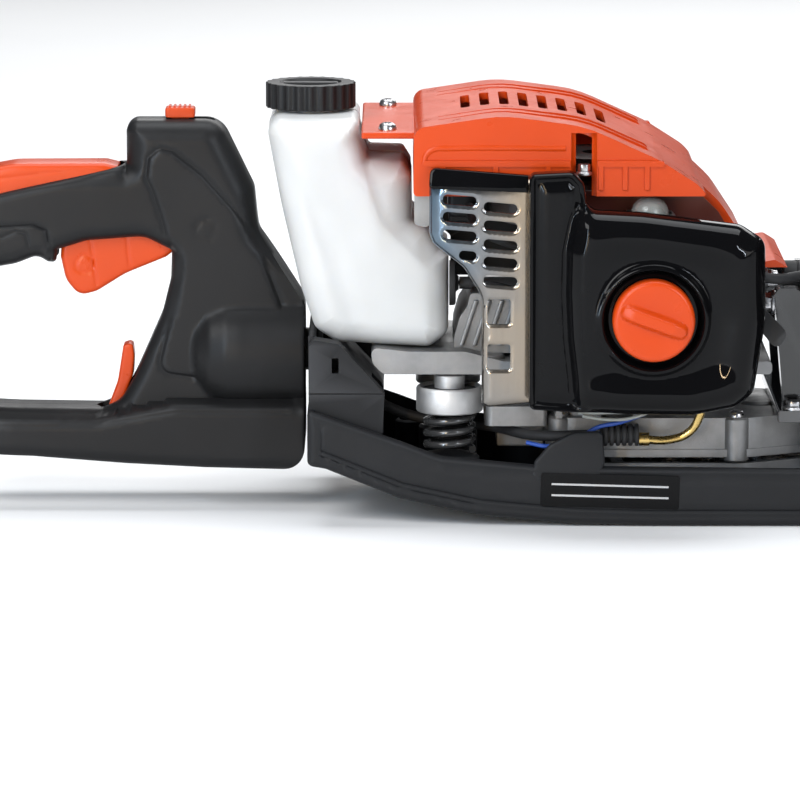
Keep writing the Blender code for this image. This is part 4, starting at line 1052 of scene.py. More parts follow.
bolts = [hex_bolt(f"bed_bolt_{s}_{x}", (x, s * y, z), "Z", 7, 4, 5.6) for s in (-1, 1)
         for x, y, z in ((108, 38, 74.4), (200, 38, 74.4))]
bolts += [hex_bolt(f"cap_bolt_{s}_{x}", (x, s * 27.4, 118), "Z", 5, 3.4, 4.0) for s in (-1, 1)
    for x in (118, 158)]
place(grouped("crankcase_bolts", bolts), "steel")

# The cylinder keeps its bore and ports, with closer and thinner fins than the frame's.
FINS = ((172.6, 29), (177.0, 29), (181.4, 29), (185.8, 28), (190.2, 25), (194.6, 22))
fin_line = []
for x, radius in reversed(FINS):
    fin_line += [(18.9, x + 1.5), (radius - 0.4, x + 1.3), (radius, x + 0.75), (radius - 0.4, x + 0.2),
        (18.9, x)]
barrel = lathe(
    "cylinder_barrel",
    [(5.3, 210), (12.1, 210), (12.5, 209.6), (12.5, 205), (18.9, 199.5), *fin_line, (19, 168.3),
        (17.2, 168.3),
     (17.2, 196.5), (5.3, 196.5)],
    (0, 0, BORE_Z), "X", closed=True,
)
join(
    barrel,
    block("inlet_boss", (168.5, -30, 89), (188, -17.8, 111), 1.0, 2),
    block("exhaust_boss", (168.5, 17.8, 92), (190, 36, 114), 1.0, 2),
    block("base_flange", (168.3, -26, 80), (172, 26, 117), 0.8, 2),
)
cut(
    barrel,
    rod("inlet_port", (178, -40, 99), 30, 7, "Y"),
    rod("exhaust_port", (179, 10, 103), 30, 7, "Y"),
    rod("cylinder_bore", (160, 0, BORE_Z), 36.5, 17.3, "X", 48),
)
place(barrel, "cast_aluminium", "chassis", ["cylinder"], even=True)


# -------------------------------------------------- side panel and its cover

PANEL_Y = -82.0
COVER_FACE_Y = -97.0
PORT = (178.0, 99.0)
KNOB = (158.7, 101.1)
PANEL = [
    (57, 168.4, 3), (102, 165, 1), (124, 164, 4), (127, 148, 6), (154, 146.4, 10), (200, 141, 6),
    (204, 134, 6),
    (204, 64, 6), (102, 60, 1), (84, 58.3, 3), (81, 60, 2),
    (81, 109.6, 12), (72.7, 123, 12), (58.5, 134, 3), (57, 138.5, 2),
]
LEFT_SLOTS = [(70.8, z) for z in (154.2, 146.2, 138.1)]
RIGHT_SLOTS = [(89.4, z) for z in (150.7, 142.3, 133.7, 125.6, 117.2)]
WINDOWS = [(88.8, z) for z in (103, 82)]
panel_holes = [slot(x, z, 15.4, 4.6, -5) for x, z in LEFT_SLOTS + RIGHT_SLOTS]
panel_holes += [slot(74.5, 128.8, 8, 4.4, -5)]
panel_holes += [oblong((x - 5.3, z - 6), (x + 5.3, z + 6), 1.4) for x, z in WINDOWS]
panel_holes.append(circle(*PORT, 9))
PANEL_BEND = [(57, 160.4), (78, 161.5), (104, 159.6)]
panel_hole_lines = [points_of(hole) for hole in panel_holes[:-1]]


def panel_drop(x, z, depth):
    """How far the panel's skin falls back from its flat middle: rolled edges, and lips round the vents."""
    drop = fillet(depth_in(x, z, PANEL), 4.5)
    drop = drop + 4.6 * ramp(z, 156, 168) ** 1.5 + 2.0 * ramp(-x, -66, -56)
    vents = np.min([near(x, z, hole, True) for hole in panel_hole_lines], axis=0)
    drop = drop + 0.5 * (1 - ramp(vents, 0, 0.9)) - 0.5 * groove(x, z, PANEL_BEND, 1.2)
    return np.where(x > 101.5, np.maximum(drop, 0.4), drop)


panel = relief(
    "vented_panel", PANEL, lambda x, z, d: PANEL_Y + panel_drop(x, z, d),
    lambda x, z, d: PANEL_Y + 3 + np.maximum(panel_drop(x, z, d) - 0.5, 0), holes=panel_holes, pitch=1.5,
    rings=(0.12, 0.5, 1.0, 1.7, 2.5),
)
place(panel, "panel_sheet", "chassis", ["side_panel"], angle=60)

# A gloss black strip laid over the panel's top band: a painted dark reflection, standing for the band where
# the sheet bends back and mirrors only dark.
DARK_BAND = [(56.8, 159.6, 2), (102.0, 157.8, 0.6), (102.0, 165.4, 0.6), (57.4, 168.8, 3)]
dark_band = relief(
    "panel_dark_band", DARK_BAND, lambda x, z, d: PANEL_Y - 1.0 + 0.4 * fillet(d, 1.6) + 2.6 * ramp(z, 160, 169),
    lambda x, z, d: PANEL_Y + 4.6, pitch=1.5, rings=(0.1, 0.4, 0.9, 1.6),
)
place(dark_band, "gloss_black_plastic", angle=60)

COVER = [
    (102.4, 59.2, 3), (102.4, 167.3, 3), (122, 168.3, 5), (127, 163, 4), (129, 150.5, 6), (154, 149.1, 20),
    (198.3, 143.5, 10), (209.6, 136, 7), (210.2, 100, 60), (205, 66, 9), (197, 59.6, 9), (177, 55.7, 20),
    (147, 56.2, 20),
]
COVER_STEP = [(131, 170), (126.5, 156), (121.8, 147), (118.8, 132), (118.4, 112), (119.4, 92), (121.4, 74),
    (123, 52)]
BOWL = [
    (130, 66, 12), (131, 138, 14), (160, 139, 20), (194, 133, 16), (200, 105, 40), (196, 72, 14),
    (176, 65, 20),
]
step_line = rounded([(x, z, 14) for x, z in COVER_STEP] + [(220, 50, 0), (220, 172, 0)])


def cover_drop(x, z, depth):
    """How far the cover's skin falls back from its highest face."""
    bulge = ramp(depth_in(x, z, [(px, pz, 0) for px, pz in step_line]), -1.0, 9.0)
    radius = 9.0 + 5.5 * ramp(x, 120, 140)
    drop = fillet(depth, radius) * 0.92
    drop = drop + 6.4 * (1 - bulge) * ramp(depth, 0, 4)
    drop = drop + 1.5 * groove(x, z, step_line[: len(step_line) - 2], 2.0) * ramp(depth, 0, 3)
    away = np.hypot(x - KNOB[0], z - KNOB[1])
    drop = drop + 3.6 * ramp(depth_in(x, z, BOWL), -5, 12) * ramp(away, 22, 27)
    drop = drop - 0.7 * np.exp(-(((away - 25.0) / 1.6) ** 2))
    dish = 1 - ramp(away, 20.6, 23.8)
    return drop * (1 - dish) + (COVER_FACE_Y * -1 - 88.6) * dish


def cover_face(x, z, depth):
    return np.minimum(COVER_FACE_Y + np.maximum(cover_drop(x, z, depth), 0), PANEL_Y - 1.2)


def cover_inner(x, z, depth):
    seat = np.hypot(x - KNOB[0], z - KNOB[1]) < 24.6
    skin = np.where(depth > 2.5, np.minimum(cover_face(x, z, depth) + 2.5, PANEL_Y - 0.4), PANEL_Y - 0.4)
    return np.where(seat, cover_face(x, z, depth) + 2.4, skin)


cover = relief(
    "cleaner_lid", COVER, cover_face, cover_inner, holes=[circle(*KNOB, 4)], pitch=1.5,
    rings=(0.1, 0.4, 0.9, 1.6, 2.5, 2.7, 3.8, 5.2, 6.8),
    creases=(step_line[: len(step_line) - 2], circle(*KNOB, 20.8, 72), circle(*KNOB, 23.4, 72),
        circle(*KNOB, 26, 72)),
)
place(cover, "gloss_black_plastic", "cleaner_cover", ["cleaner_cover"], angle=60)

knob_bar = rounded(slot(*KNOB, 33, 7.4, -20))


def knob_face(x, z, depth):
    """The knob's front: a faint dish in a rounded rim, with a grip bar standing across it."""
    away = np.hypot(x - KNOB[0], z - KNOB[1])
    height = 99.6 - fillet(18.7 - away, 2.6) - 0.5 * (1 - ramp(away, 4.0, 17.0))
    bar_depth = np.where(inside(x, z, [knob_bar]), 1, -1) * near(x, z, knob_bar, True)
    bar = 103.4 - 4.8 * (1 - ramp(bar_depth, -1.2, 1.6)) - 2.4 * ramp(away, 9, 18.5)
    return -np.maximum(height, np.where(bar_depth > -1.2, bar, 0))


def disc_relief(name, centre, radius, front, back, rings):
    """A round body between two surfaces, meshed in rings."""
    verts, faces, count = [], [], 96
    radii = [radius * (k / rings) ** 0.85 for k in range(1, rings + 1)]
    for surface_of in (front, back):
        start = len(verts)
        ring = np.array([(*centre,)] + [p for r in radii for p in circle(*centre, r, count)])
        depth = radius - np.hypot(ring[:, 0] - centre[0], ring[:, 1] - centre[1])
        level = np.broadcast_to(surface_of(ring[:, 0], ring[:, 1], depth), depth.shape)
        verts += [(x, y, z) for (x, z), y in zip(ring, level)]
        for k in range(count):
            n = (k + 1) % count
            faces.append((start, start + 1 + k, start + 1 + n))
            for r in range(rings - 1):
                low = start + 1 + r * count
                faces.append((low + k, low + count + k, low + count + n, low + n))
    half = len(verts) // 2
    rim = half - count
    for k in range(count):
        n = (k + 1) % count
        faces.append((rim + k, rim + n, rim + n + half, rim + k + half))
    return piece_of(name, verts, faces)


knob = disc_relief("lid_knob", KNOB, 18.7, knob_face, lambda x, z, d: -91.2, 60)
join(knob, rod("knob_stem", (KNOB[0], -92, KNOB[1]), 8.6, 3.5, "Y", 32))
place(knob, "orange_plastic", "cover_knob", ["cover_knob"], angle=50)


# ------------------------------------------------------------ starter cover

STARTER_HALF = 74.0
NOSE_HALF = 45.0
TOP = [(50, 186, 6), (90, 192, 60), (128, 187, 60), (162, 171.5, 40), (180, 160, 30)]
DECK = [(49.8, 155, 2), (184, 155, 1), *reversed(TOP)]
NOSE = [
    (165, 118, 0), (222.6, 118, 0), (217, 121.5, 3), (208, 120, 3), (202.4, 131.3, 20), (191, 148.6, 30),
    (177, 161.7, 30), (165, 168, 0),
]
NOSE_HOLLOW = [
    (219, 110, 0), (204, 119, 2), (199, 130, 18), (188.5, 146, 28), (175, 158.5, 28), (158, 165.5, 0),
    (158, 110, 0),
]
DECK_HOLLOW = [
    (53, 150, 1), (181, 150, 1), (177, 158, 20), (160, 168.5, 38), (127, 183.8, 58), (90, 188.8, 58),
    (53, 183, 5),
]
shroud = prism("shroud", DECK, -STARTER_HALF, STARTER_HALF, "Y", (), 9, 6)
join(
    shroud,
    prism("shroud_nose", NOSE, -NOSE_HALF, NOSE_HALF, "Y", (), 5, 4),
    block("shroud_flange", (26, -58, 179.2), (60, 58, 182.2), 1.0),
)
ribs = []
for s in (-1, 1):
    ribs.append(prism(f"side_ledge_{s}", oblong((54, 168.6), (164, 171.4), 1.2), *sorted((s * 70, s * 75.2)),
            "Y", (), 0.9))
    bead = [(54.6, s * 73.2, 170), (55.4, s * 73.2, 173.6), (58.6, s * 73.2, 176.4), (66, s * 73.2, 177),
        (119, s * 73.2, 177)]
    ribs.append(tube(f"side_bead_{s}", bead, 1.6, 4, True, 8))
    ribs += [
        block(f"side_rib_{s}_{x}", (x, min(s * 70, s * 75.0), 157.6), (x + 2.4, max(s * 70, s * 75.0), 169.6),
            0.7, 2)
        for x in (62, 86, 110, 134, 145, 155)
    ]
ribs += [
    prism(
        f"top_rib_{k}", [(60, 180, 0), (60, 187.6, 2), (90, 192.4, 60), (128, 188.0, 60), (158, 174.6, 30), (
                158, 168, 0)],
        y - 1.3, y + 1.3, "Y", (), 0.9,
    )
    for k, y in enumerate((-54, -42, 42, 54))
]
join(shroud, *ribs)
vents = [prism(f"top_vent_{k}", slot(x, 0, 52 - 2 * abs(k - 3), 4.4, 90), 176, 200, "Z") for k,
    x in enumerate(range(74, 138, 9))]
cut(
    shroud,
    prism("starter_hollow", DECK_HOLLOW, -(STARTER_HALF - 3), STARTER_HALF - 3),
    prism("nose_hollow", NOSE_HOLLOW, -(NOSE_HALF - 3), NOSE_HALF - 3),
    prism(
        "nose_arch", [(171, 100, 0), (171, 157, 4), (186, 146, 18), (196, 131, 14), (200, 120, 3),
            (200, 100, 0)], -60, 60
    ),
    rod("rope_exit", (112, 66, 160), 12, 3.4, "Y"),
    rod("screw_well", (127.4, -76, 150), 34, 6.2, "Z"),
    *vents,
)
place(shroud, "orange_plastic", "chassis", ["starter_cover"], even=True)

lip = tube(
    "shroud_lip", [(172.5, -43.4, 158.6), (186, -43.4, 146.6), (195.6, -43.4, 131.4), (200.4, -43.4, 121)],
    1.5
)
place(lip, "orange_plastic")
# Thin sheets inside the orange shroud, given the dark red-brown finish as painted shade for the shroud's
# orange inside.
WEB = [(104, 118, 1), (104, 154.6, 1), (180, 154.6, 4), (190, 145, 12), (197, 133, 8), (200, 121, 2),
    (200, 118, 1)]
for s in (-1, 1):
    web = prism(f"shroud_shade_web_{s}", WEB, *sorted((s * 50.9, s * 51.7)), "Y")
    place(web, "inner_red")
leg = prism("shroud_leg", [(50.4, 157.4, 1), (56.4, 157.4, 1), (56.4, 172, 0), (50.4, 172, 0)], -72, -60, "Y",
    (), 1.4)
place(leg, "orange_plastic", even=True)
stay = prism("leg_stay", [(50.2, 141.6, 2), (57.2, 139.8, 2), (57.2, 157, 1), (50.2, 157, 1)], -70.5, -61.5,
    "Y", (), 1.5)
place(stay, "cast_aluminium", even=True)
well = [hex_bolt("shroud_screw", (127.4, -74.6, 165.4), "Z", 5.2, 4.6, 3.6)]
well += [screw(f"flange_screw_{s}", (38, s * 46, 182.1), "Z", 4.2, 3.4) for s in (-1, 1)]
place(grouped("shroud_screws", well), "steel")

reel = lathe(
    "rope_reel",
    [(28, 166), (28, 164.2), (27, 163.5), (22, 163), (22, 157), (27, 156.5), (28, 155.8), (28, 154), (7, 154),
        (7, 166)],
    (CRANK_X, 0, 0), closed=True,
)
place(reel, "satin_black_plastic", "starter_reel", ["starter_reel"])
rope_x = CRANK_X - 24.3
rope = tube("pull_rope", [(rope_x, -66, 160), (rope_x, 77, 160)], 1.6, 4, False)
place(rope, "starter_rope", "starter_grip", ["starter_rope"], angle=60)
GRIP_PLAN = [(rope_x - 21, 79, 5), (rope_x - 6, 77.4, 6), (rope_x + 6, 77.4, 6), (rope_x + 21, 79, 5),
    (rope_x + 21, 89, 5), (rope_x, 90, 30), (rope_x - 21, 89, 5)]
pull = prism("pull_grip", GRIP_PLAN, 153, 167, "Z", (), 4.6, 5)
cut(pull, *[rod(f"pull_groove_{k}", (rope_x - 12 + 8 * k, 92.2, 150), 20, 2.9, "Z") for k in range(4)])
place(pull, "satin_black_plastic", "starter_grip", ["starter_grip"], even=True)


# --------------------------------------------------------------- fuel system

TANK = [
    (-18.6, 186, 7), (-11, 145, 30), (-2.3, 107.2, 30), (4.2, 88, 8), (14, 81.4, 10), (57.5, 79.1, 6),
    (66.2, 86, 7), (66.2, 122.6, 1.5), (62, 125, 2), (56, 134, 4), (49, 139, 3), (48.8, 160, 4), (45, 166, 3),
    (29, 166.5, 2), (24.8, 178, 8), (24.8, 186, 5),
]
TANK_SHOULDER = [(24, 182), (27, 160), (36, 138), (52, 122), (67, 112)]
TANK_WAIST = [(-16, 176), (0, 150), (14, 120), (20, 96), (22, 80)]


def tank_height(x, z, depth):
    """A blown bottle: wide soft edges, a shallow fold across each side and a step by the grommet."""
    height = 45 - fillet(depth, 13)
    height = height - 1.8 * ramp(
        depth_in(x, z, [(70, 190, 0), (70, 110, 0), (52, 122, 8), (36, 138, 8), (25, 166, 8), (22, 190, 0)]),
        -2.5, 3.5)
    height = height - 0.9 * groove(x, z, TANK_WAIST, 5.0)
    return height


tank = relief(
    "tank_body", TANK, lambda x, z, d: -tank_height(x, z, d), tank_height, pitch=2.0,
    rings=(0.12, 0.5, 1.1, 2.0, 3.2, 4.8, 6.8, 9.2), creases=[TANK_SHOULDER],
)
place(tank, "tank_white_plastic", "chassis", ["fuel_tank"], angle=80)
seam = relief("tank_seam", [(x, z, r) for x, z, r in offset(TANK, -0.35)], lambda x, z, d: -0.5, lambda x, z,
    d: 0.5,
              holes=[[(x, z, r) for x, z, r in offset(TANK, 1.0)]], pitch=0, rings=())
place(seam, "tank_white_plastic")
neck = lathe(
    "tank_filler_neck", [(14, 179), (14, 196), (13.4, 196.4), (12.6, 196), (12.6, 179)], (2, 0, 0),
    closed=True
)
place(neck, "tank_white_plastic")

cap_outline = [
    (2 + (20.5 + 0.5 * np.sign(cos(24 * a))) * cos(a), (20.5 + 0.5 * np.sign(cos(24 * a))) * sin(a))
    for a in (2 * pi * (k + 0.5) / 96 for k in range(96))
]
cap = prism("filler_cap", cap_outline, 187.2, 199, "Z", (), 1.0, 2)
cut(
    cap,
    rod("cap_hollow", (2, 0, 186), 9.6, 16.8, "Z", 64),
    lathe("cap_dish", [(0, 197.6), (13, 197.6), (15, 199.4), (0, 199.4)], (2, 0, 0)),
)
join(cap, block("cap_bar", (-11, -2.2, 197), (15, 2.2, 198.9), 0.8, 2))
place(cap, "satin_black_plastic", "fuel_cap", ["fuel_cap"], even=True)

grommet = lathe(
    "hose_grommet",
    [(0, 71), (3.2, 71), (3.6, 70.4), (4.4, 69.6), (9.4, 69.6), (10.3, 69.1), (10.5, 68.2), (10.5, 66.6),
        (0, 66.6)],
    (0, -30, 108.5), "X",
)
place(grommet, "black_rubber", "chassis", ["fuel_grommet"])
hose = tube(
    "fuel_line",
    [(71.2, -30, 108.5), (77, -30.6, 108.6), (84, -38, 109), (100, -55, 108), (128, -66, 104),
        (155.4, -66, 98)], 1.9, 4
)
place(hose, "black_rubber", "chassis", ["fuel_hose"], angle=60)
stub = lathe("hose_ferrule", [(1.8, 71.2), (2.9, 71.2), (2.9, 77), (1.8, 77)], (0, -30.1, 108.5), "X",
    closed=True)
place(stub, "black_rubber")


# ----------------------------------------------------------------- front end

BRACKET = [
    (216.5, 108, 3), (229, 108, 3), (236, 60, 6), (262, 55, 3), (266, 52, 1), (266, 47.4, 0), (222, 47.4, 1),
]
bracket = block("handle_bracket", (218, -58, 47.4), (266, 58, 53), 1.2)
join(bracket, *[prism(f"bracket_cheek_{s}", BRACKET, *sorted((s * 35, s * 45)), "Y", (), 0.8, 2) for s in (-1,
            1)])
cut(
    bracket,
    *[rod(f"bracket_bore_{s}", (200, s * 40, 101), 40, 3.5, "X", 24) for s in (-1, 1)],
    *[block(f"bracket_seat_{s}", (229.5, s * 40 - 8.6, 92), (250, s * 40 + 8.6, 112)) for s in (-1, 1)],
    *[rod(f"bracket_hole_{s}_{x}", (x, s * 22, 40), 20, 5, "Z", 32) for s in (-1, 1) for x in (236, 252)],
)
place(bracket, "black_painted_steel", "chassis", ["front_bracket"], even=True)
HALF_LOOP = [
    (230, -40, 101), (258, -40, 101), (278, -52, 104), (288, -96, 122), (290, -117.5, 152), (290, -112, 188),
    (290, -86, 208), (290, -45, 213.5),
]
loop_points = HALF_LOOP + [(x, -y, z) for x, y, z in reversed(HALF_LOOP)]
loop = tube("bow_handle", loop_points, 6.9, 7, True, 14)
place(loop, "black_painted_steel", "chassis", ["front_handle"], angle=60)
sleeve_points = [(290, -110.5, 190), (290, -86, 208), (290, -45, 213.5), (290, 0, 214.2), (290, 45, 213.5),
    (290, 86, 208), (290, 110.5, 190)]
sleeve = tube("bow_sleeve", sleeve_points, 7.3, 7, True, 14)
place(sleeve, "black_rubber", angle=60)
collars = []
for s in (-1, 1):
    collars.append(lathe(f"bow_collar_{s}", [(7.4, 232), (8.5, 232), (8.5, 247), (8.1, 248), (7.4, 248)],
            (0, s * 40, 101), "X", closed=True))
place(grouped("bow_collars", collars), "black_painted_steel")
bow_bolts = [hex_bolt(f"bow_bolt_{s}", (216.6, s * 40, 101), "-X", 8, 4.4, 5.8) for s in (-1, 1)]
bow_bolts += [hex_bolt(f"bracket_bolt_{s}_{x}", (x, s * 52, 53), "Z", 7, 3.8, 5.4) for s in (-1, 1)
    for x in (226, 258)]
place(grouped("bracket_bolts", bow_bolts), "steel")

GUARD = [
    (-66, 40, 20), (-112, 90, 24), (-112, 186, 26), (-80, 214, 20), (80, 214, 20), (112, 186, 26),
    (112, 90, 24),
    (66, 40, 20),
]
GUARD_LINES = [[(y, 62), (y * 1.12, 198)] for y in (-66, -44, -22, 0, 22, 44, 66)]


def guard_front(y, z, depth):
    wave = 0.8 * sum(groove(y, z, line, 2.2) for line in GUARD_LINES)
    return 320.1 + np.minimum(wave, 0.8) - 0.5 * ramp(depth, 5, 8) - fillet(depth, 0.9)


guard = relief(
    "knuckle_guard", GUARD, guard_front, lambda y, z, d: 318 + fillet(d, 0.9), axis="X", pitch=3.0,
    rings=(0.1, 0.45, 0.9, 4.6, 6.5, 8.4), creases=GUARD_LINES,
)
place(guard, "satin_black_plastic", "chassis", ["hand_guard"], angle=60)
foot = block("guard_foot", (266.4, -40, 47.4), (320, 40, 51), 0.8)
join(foot, *[
    prism(f"guard_gusset_{s}", [(290, 50, 0), (318.6, 50, 0), (318.6, 72, 2), (312, 72, 2)],
        *sorted((s * 30, s * 33)), "Y", (), 0.6, 2)
    for s in (-1, 1)
])
place(foot, "satin_black_plastic", even=True)
guard_bolts = [screw(f"guard_screw_{s}_{x}", (x, s * 18, 51), "Z", 4.2, 2.6) for s in (-1, 1)
    for x in (276, 290)]
place(grouped("guard_screws", guard_bolts), "steel")


# ------------------------------------------------------ gearbox and cutters

GEARCASE = [(112, -45, 14), (205, -45, 14), (235, -30, 10), (235, 30, 10), (205, 45, 14), (112, 45, 14)]
FLANGE_BOLTS = [(118, -38), (118, 38), (200, -41), (200, 41)]
case = prism("gearbox_case", offset(GEARCASE, 1.4), 28.4, 47, "Z", (), 3.0, 4)
join(
    case,
    prism("gearbox_flange", GEARCASE, 28.8, 32.4, "Z", (), 0.8, 2),
    rod("gearbox_bell", (CRANK_X, 0, 45), 66.7 - 45, 38, "Z", 80, 0.8),
    *[rod(f"gearbox_boss_{x}_{y}", (x, y, 26.4), 21, 6, "Z", 28, 1.0) for x, y in FLANGE_BOLTS],
    *[prism(f"bell_rib_{s}_{k}", [(x, 44, 0), (x, 62, 1), (x + 3, 62, 1), (x + 3, 44, 0)],
            *sorted((s * 30, s * 43.5)), "Y", (), 0.8, 2)
      for s in (-1, 1) for k, x in enumerate((116, 134, 152))],
    rod("gearbox_front_boss", (212, 0, 40), 8.4, 10, "Z", 36, 1.2),
)
cut(
    case,
    prism("gearbox_hollow", offset(GEARCASE, 5), 20, 43, "Z"),
    rod("bell_hollow", (CRANK_X, 0, 47.2), 22, 34, "Z", 64),
    rod("gearbox_bearing", (CRANK_X, 0, 40), 10, 5.5),
)
place(case, "cast_aluminium", "chassis", ["gearcase"], even=True)
tray = prism("gearbox_tray", offset(GEARCASE, 1), 11, 25.7, "Z", (), 2.0, 3)
cut(
    tray,
    prism("tray_hollow", offset(GEARCASE, 4), 13.5, 30, "Z"),
    block("tray_mouth", (220, -26, 14.5), (240, 26, 30)),
)
place(tray, "cast_aluminium", "chassis", ["gearcase_cover"], even=True)
case_bolts = [screw(f"gearbox_screw_{x}_{y}", (x, y, 47.4), "Z", 3.8, 3.0) for x, y in FLANGE_BOLTS]
place(grouped("gearbox_screws", case_bolts), "steel")

TOOTH_PITCH = 35.0
TEETH = 14
TEETH_START = 300.0
BLADE_HALF = 37.5
SPINE_HALF = 17.0
BLADE_TIP = 805.0
CAM_X = 172.0
GUIDE_POSTS = [320.0 + 88.0 * k for k in range(6)]


def blade_outline(shift):
    """One blade seen from above: a drive plate, a neck and a spine with teeth along both sides."""
    side_line = [
        (CAM_X - 29, 21, 6), (CAM_X + 29, 21, 4), (CAM_X + 40, SPINE_HALF, 6),
        (TEETH_START - 12, SPINE_HALF, 0)
    ]
    for k in range(TEETH):
        x = TEETH_START + k * TOOTH_PITCH + shift
        for along, across, radius in ((0, SPINE_HALF, 4), (7.5, BLADE_HALF, 1.2), (13, BLADE_HALF, 1.2),
            (20.5, SPINE_HALF, 4)):
            side_line.append((x + along, across, radius))
    side_line.append((BLADE_TIP - 10, SPINE_HALF, 4))
    side_line.append((BLADE_TIP, 9, 4))
    return side_line + [(x, -y, radius) for x, y, radius in reversed(side_line)]


def blade(name, bottom, shift, up, body, node):
    """A ground blade: its teeth are bevelled to an edge on the side away from the other blade."""
    openings = [oblong((CAM_X - 23.4, -15.4), (CAM_X + 23.4, 15.4), 6)]
    openings += [slot(x, 0, 29.4, 8.2) for x in GUIDE_POSTS]
    top = bottom + 2.1

    def ground(x, y, depth):
        edge = (1 - np.clip(depth / 3.0, 0, 1)) * ramp(np.abs(y), SPINE_HALF - 1, SPINE_HALF + 3) * (
            x > TEETH_START - 6)
        return edge * 1.7

    plate = relief(
        name, blade_outline(shift), lambda x, y, d: top - (ground(x, y, d) if up else 0),
        lambda x, y, d: bottom + (0 if up else ground(x, y, d)), holes=openings, axis="Z", pitch=6,
        rings=(3.0,),
    )
    place(plate, "blade_steel", body, [node], angle=15)


blade("top_blade", 18.4, 0, True, "upper_blade", "upper_blade")
blade("bottom_blade", 15.9, 4, False, "lower_blade", "lower_blade")

BAR_PLAN = [(208, -14, 4), (BLADE_TIP - 8, -12, 8), (BLADE_TIP - 8, 12, 8), (208, 14, 4)]
bar = prism("blade_bar", BAR_PLAN, 20.8, 24.8, "Z", (), 1.0, 3)
posts = []
for k, x in enumerate(GUIDE_POSTS):
    posts.append(rod(f"bar_post_{k}", (x, 0, 15.2), 7, 3.5, "Z", 32))
    posts.append(rod(f"bar_washer_{k}", (x, 0, 14), 1.5, 8, "Z", 40, 0.3))
join(bar, *posts)
cut(bar, *[prism(f"bar_slot_{k}", slot(x + 44, 0, 46, 7), 10, 30, "Z") for k,
        x in enumerate(GUIDE_POSTS[:-1])])
place(bar, "steel", "chassis", ["guide_bar"], even=True)
nuts = [hex_bolt(f"bar_nut_{k}", (x, 0, 24.9), "Z", 8, 4.2, 6.2) for k, x in enumerate(GUIDE_POSTS)]
place(grouped("bar_nuts", nuts), "yellow_zinc")
tip_guard = prism(
    "blade_tip_guard", [(BLADE_TIP - 26, -13.6, 3), (BLADE_TIP - 1, -10, 8), (BLADE_TIP - 1, 10, 8), (
            BLADE_TIP - 26, 13.6, 3)],
    24.9, 27.4, "Z", (), 0.9, 3,
)
place(tip_guard, "satin_black_plastic", even=True)


# -------------------------------------------------------- exhaust and intake

MUFFLER_LOW, MUFFLER_HIGH = (166, 38, 76), (214, 72, 116)
muffler = block("silencer", MUFFLER_LOW, MUFFLER_HIGH, 6, 5)
join(muffler, prism("silencer_seam", oblong((165.4, 75.4), (214.6, 116.6), 6), 54.2, 55.8, "Y", (), 0.5, 2))
cut(
    muffler,
    block("silencer_hollow", (168, 40, 78), (212, 70, 114), 4),
    rod("silencer_inlet", (179, 30, 103), 12, 7, "Y"),
    rod("silencer_outlet", (204, 60, 88), 20, 4, "Y"),
)
place(muffler, "black_painted_steel", "chassis", ["muffler"], even=True)
SHIELD = [
    (118, 64, 6), (212, 64, 10), (208, 104, 20), (197, 124, 20), (180, 140, 14), (160, 148, 10),
    (118, 149, 8),
]
shield_holes = [slot(x, z, 24, 4.6, 0) for x in (144, 178) for z in (76, 86, 96, 106, 116)]
shield = relief(
    "silencer_shield", SHIELD,
    lambda x, z, d: 79 - fillet(d, 2.4) - 0.5 * ramp(d, 4.5, 7), lambda x, z, d: 76 - 0.6 * ramp(d, 6, 9)
    + 0.6, holes=shield_holes,
    pitch=2.2, rings=(0.12, 0.5, 1.1, 1.8, 2.4),
)
place(shield, "satin_black_plastic", "chassis", ["muffler_guard"], angle=60)
shield_bolts = [screw(f"shield_screw_{k}", (x, 77.2, z), "Y", 3.2, 1.7) for k,
    (x, z) in enumerate(((125, 71), (204, 72), (125, 142)))]
place(grouped("shield_screws", shield_bolts), "steel")

inlet = prism("inlet_spacer", [(169, 88, 3), (190, 88, 3), (190, 110, 3), (169, 110, 3)], -45.7, -30.3, "Y",
    [circle(*PORT, 7.5)], 0.8, 2)
place(inlet, "satin_black_plastic", "chassis", ["intake_insulator"], even=True)
bulb = lathe(
    "primer_dome",
    [(0, 153.6), (2.4, 153.4), (4.6, 152.7), (6.4, 151.4), (7.7, 149.7), (8.4, 147.6), (8.8, 144.8),
        (9.6, 144.4),
     (10, 144.1), (10, 143.0), (9.8, 142.8), (7, 142.8), (7, 146.6), (5.4, 149.4), (3, 150.8), (0, 151.2)],
    (158, -64, 0),
)
place(bulb, "primer_clear_plastic", "primer", ["primer_bulb"])
coil_body = block("coil_core", (66.5, -12, 134.4), (84, 12, 150.6), 1.0)
join(coil_body, block("coil_case", (66, -16, 137), (82, 16, 148.4), 2.4, 4))
place(coil_body, "satin_black_plastic", "chassis", ["ignition_coil"], even=True)
HEX_PLUG = circle(0, 0, 6.9, 6)
plug = lathe(
    "plug_body", [(0, 232), (2.4, 232), (3, 231.4), (3, 222), (4.6, 221), (5.6, 216), (5.6, 211), (5, 210),
        (5, 198), (0, 198)],
    (0, 0, BORE_Z), "X",
)
nut = prism("plug_nut", [(y, z + BORE_Z) for y, z in HEX_PLUG], 211.2, 216.4, "X", (), 0.6, 2)
join(plug, nut)
place(plug, "steel", "chassis", ["spark_plug"], even=True)
lead = tube(
    "spark_lead",
    [(76, -17.5, 142), (84, -48, 134), (120, -48.2, 125), (160, -47.9, 118.4), (203, -48, 116),
        (216, -47, 113),
     (230, -38, 113), (246, -20, 112), (250, -3, 106), (243, 0, BORE_Z)],
    2.5, 4,
)
place(lead, "black_rubber", "chassis", ["ignition_lead"], angle=60)
plug_cap = lathe(
    "plug_boot",
    [(0, 244), (5, 244), (7.4, 242.6), (9.1, 239.4), (9.5, 236), (9.5, 231), (8.9, 230.4), (9.5, 229.8),
        (9.5, 224),
     (3.4, 224), (3.4, 233), (0, 233)],
    (0, 0, BORE_Z), "X",
)
place(plug_cap, "black_rubber")


# ------------------------------------------------------------ throttle cable

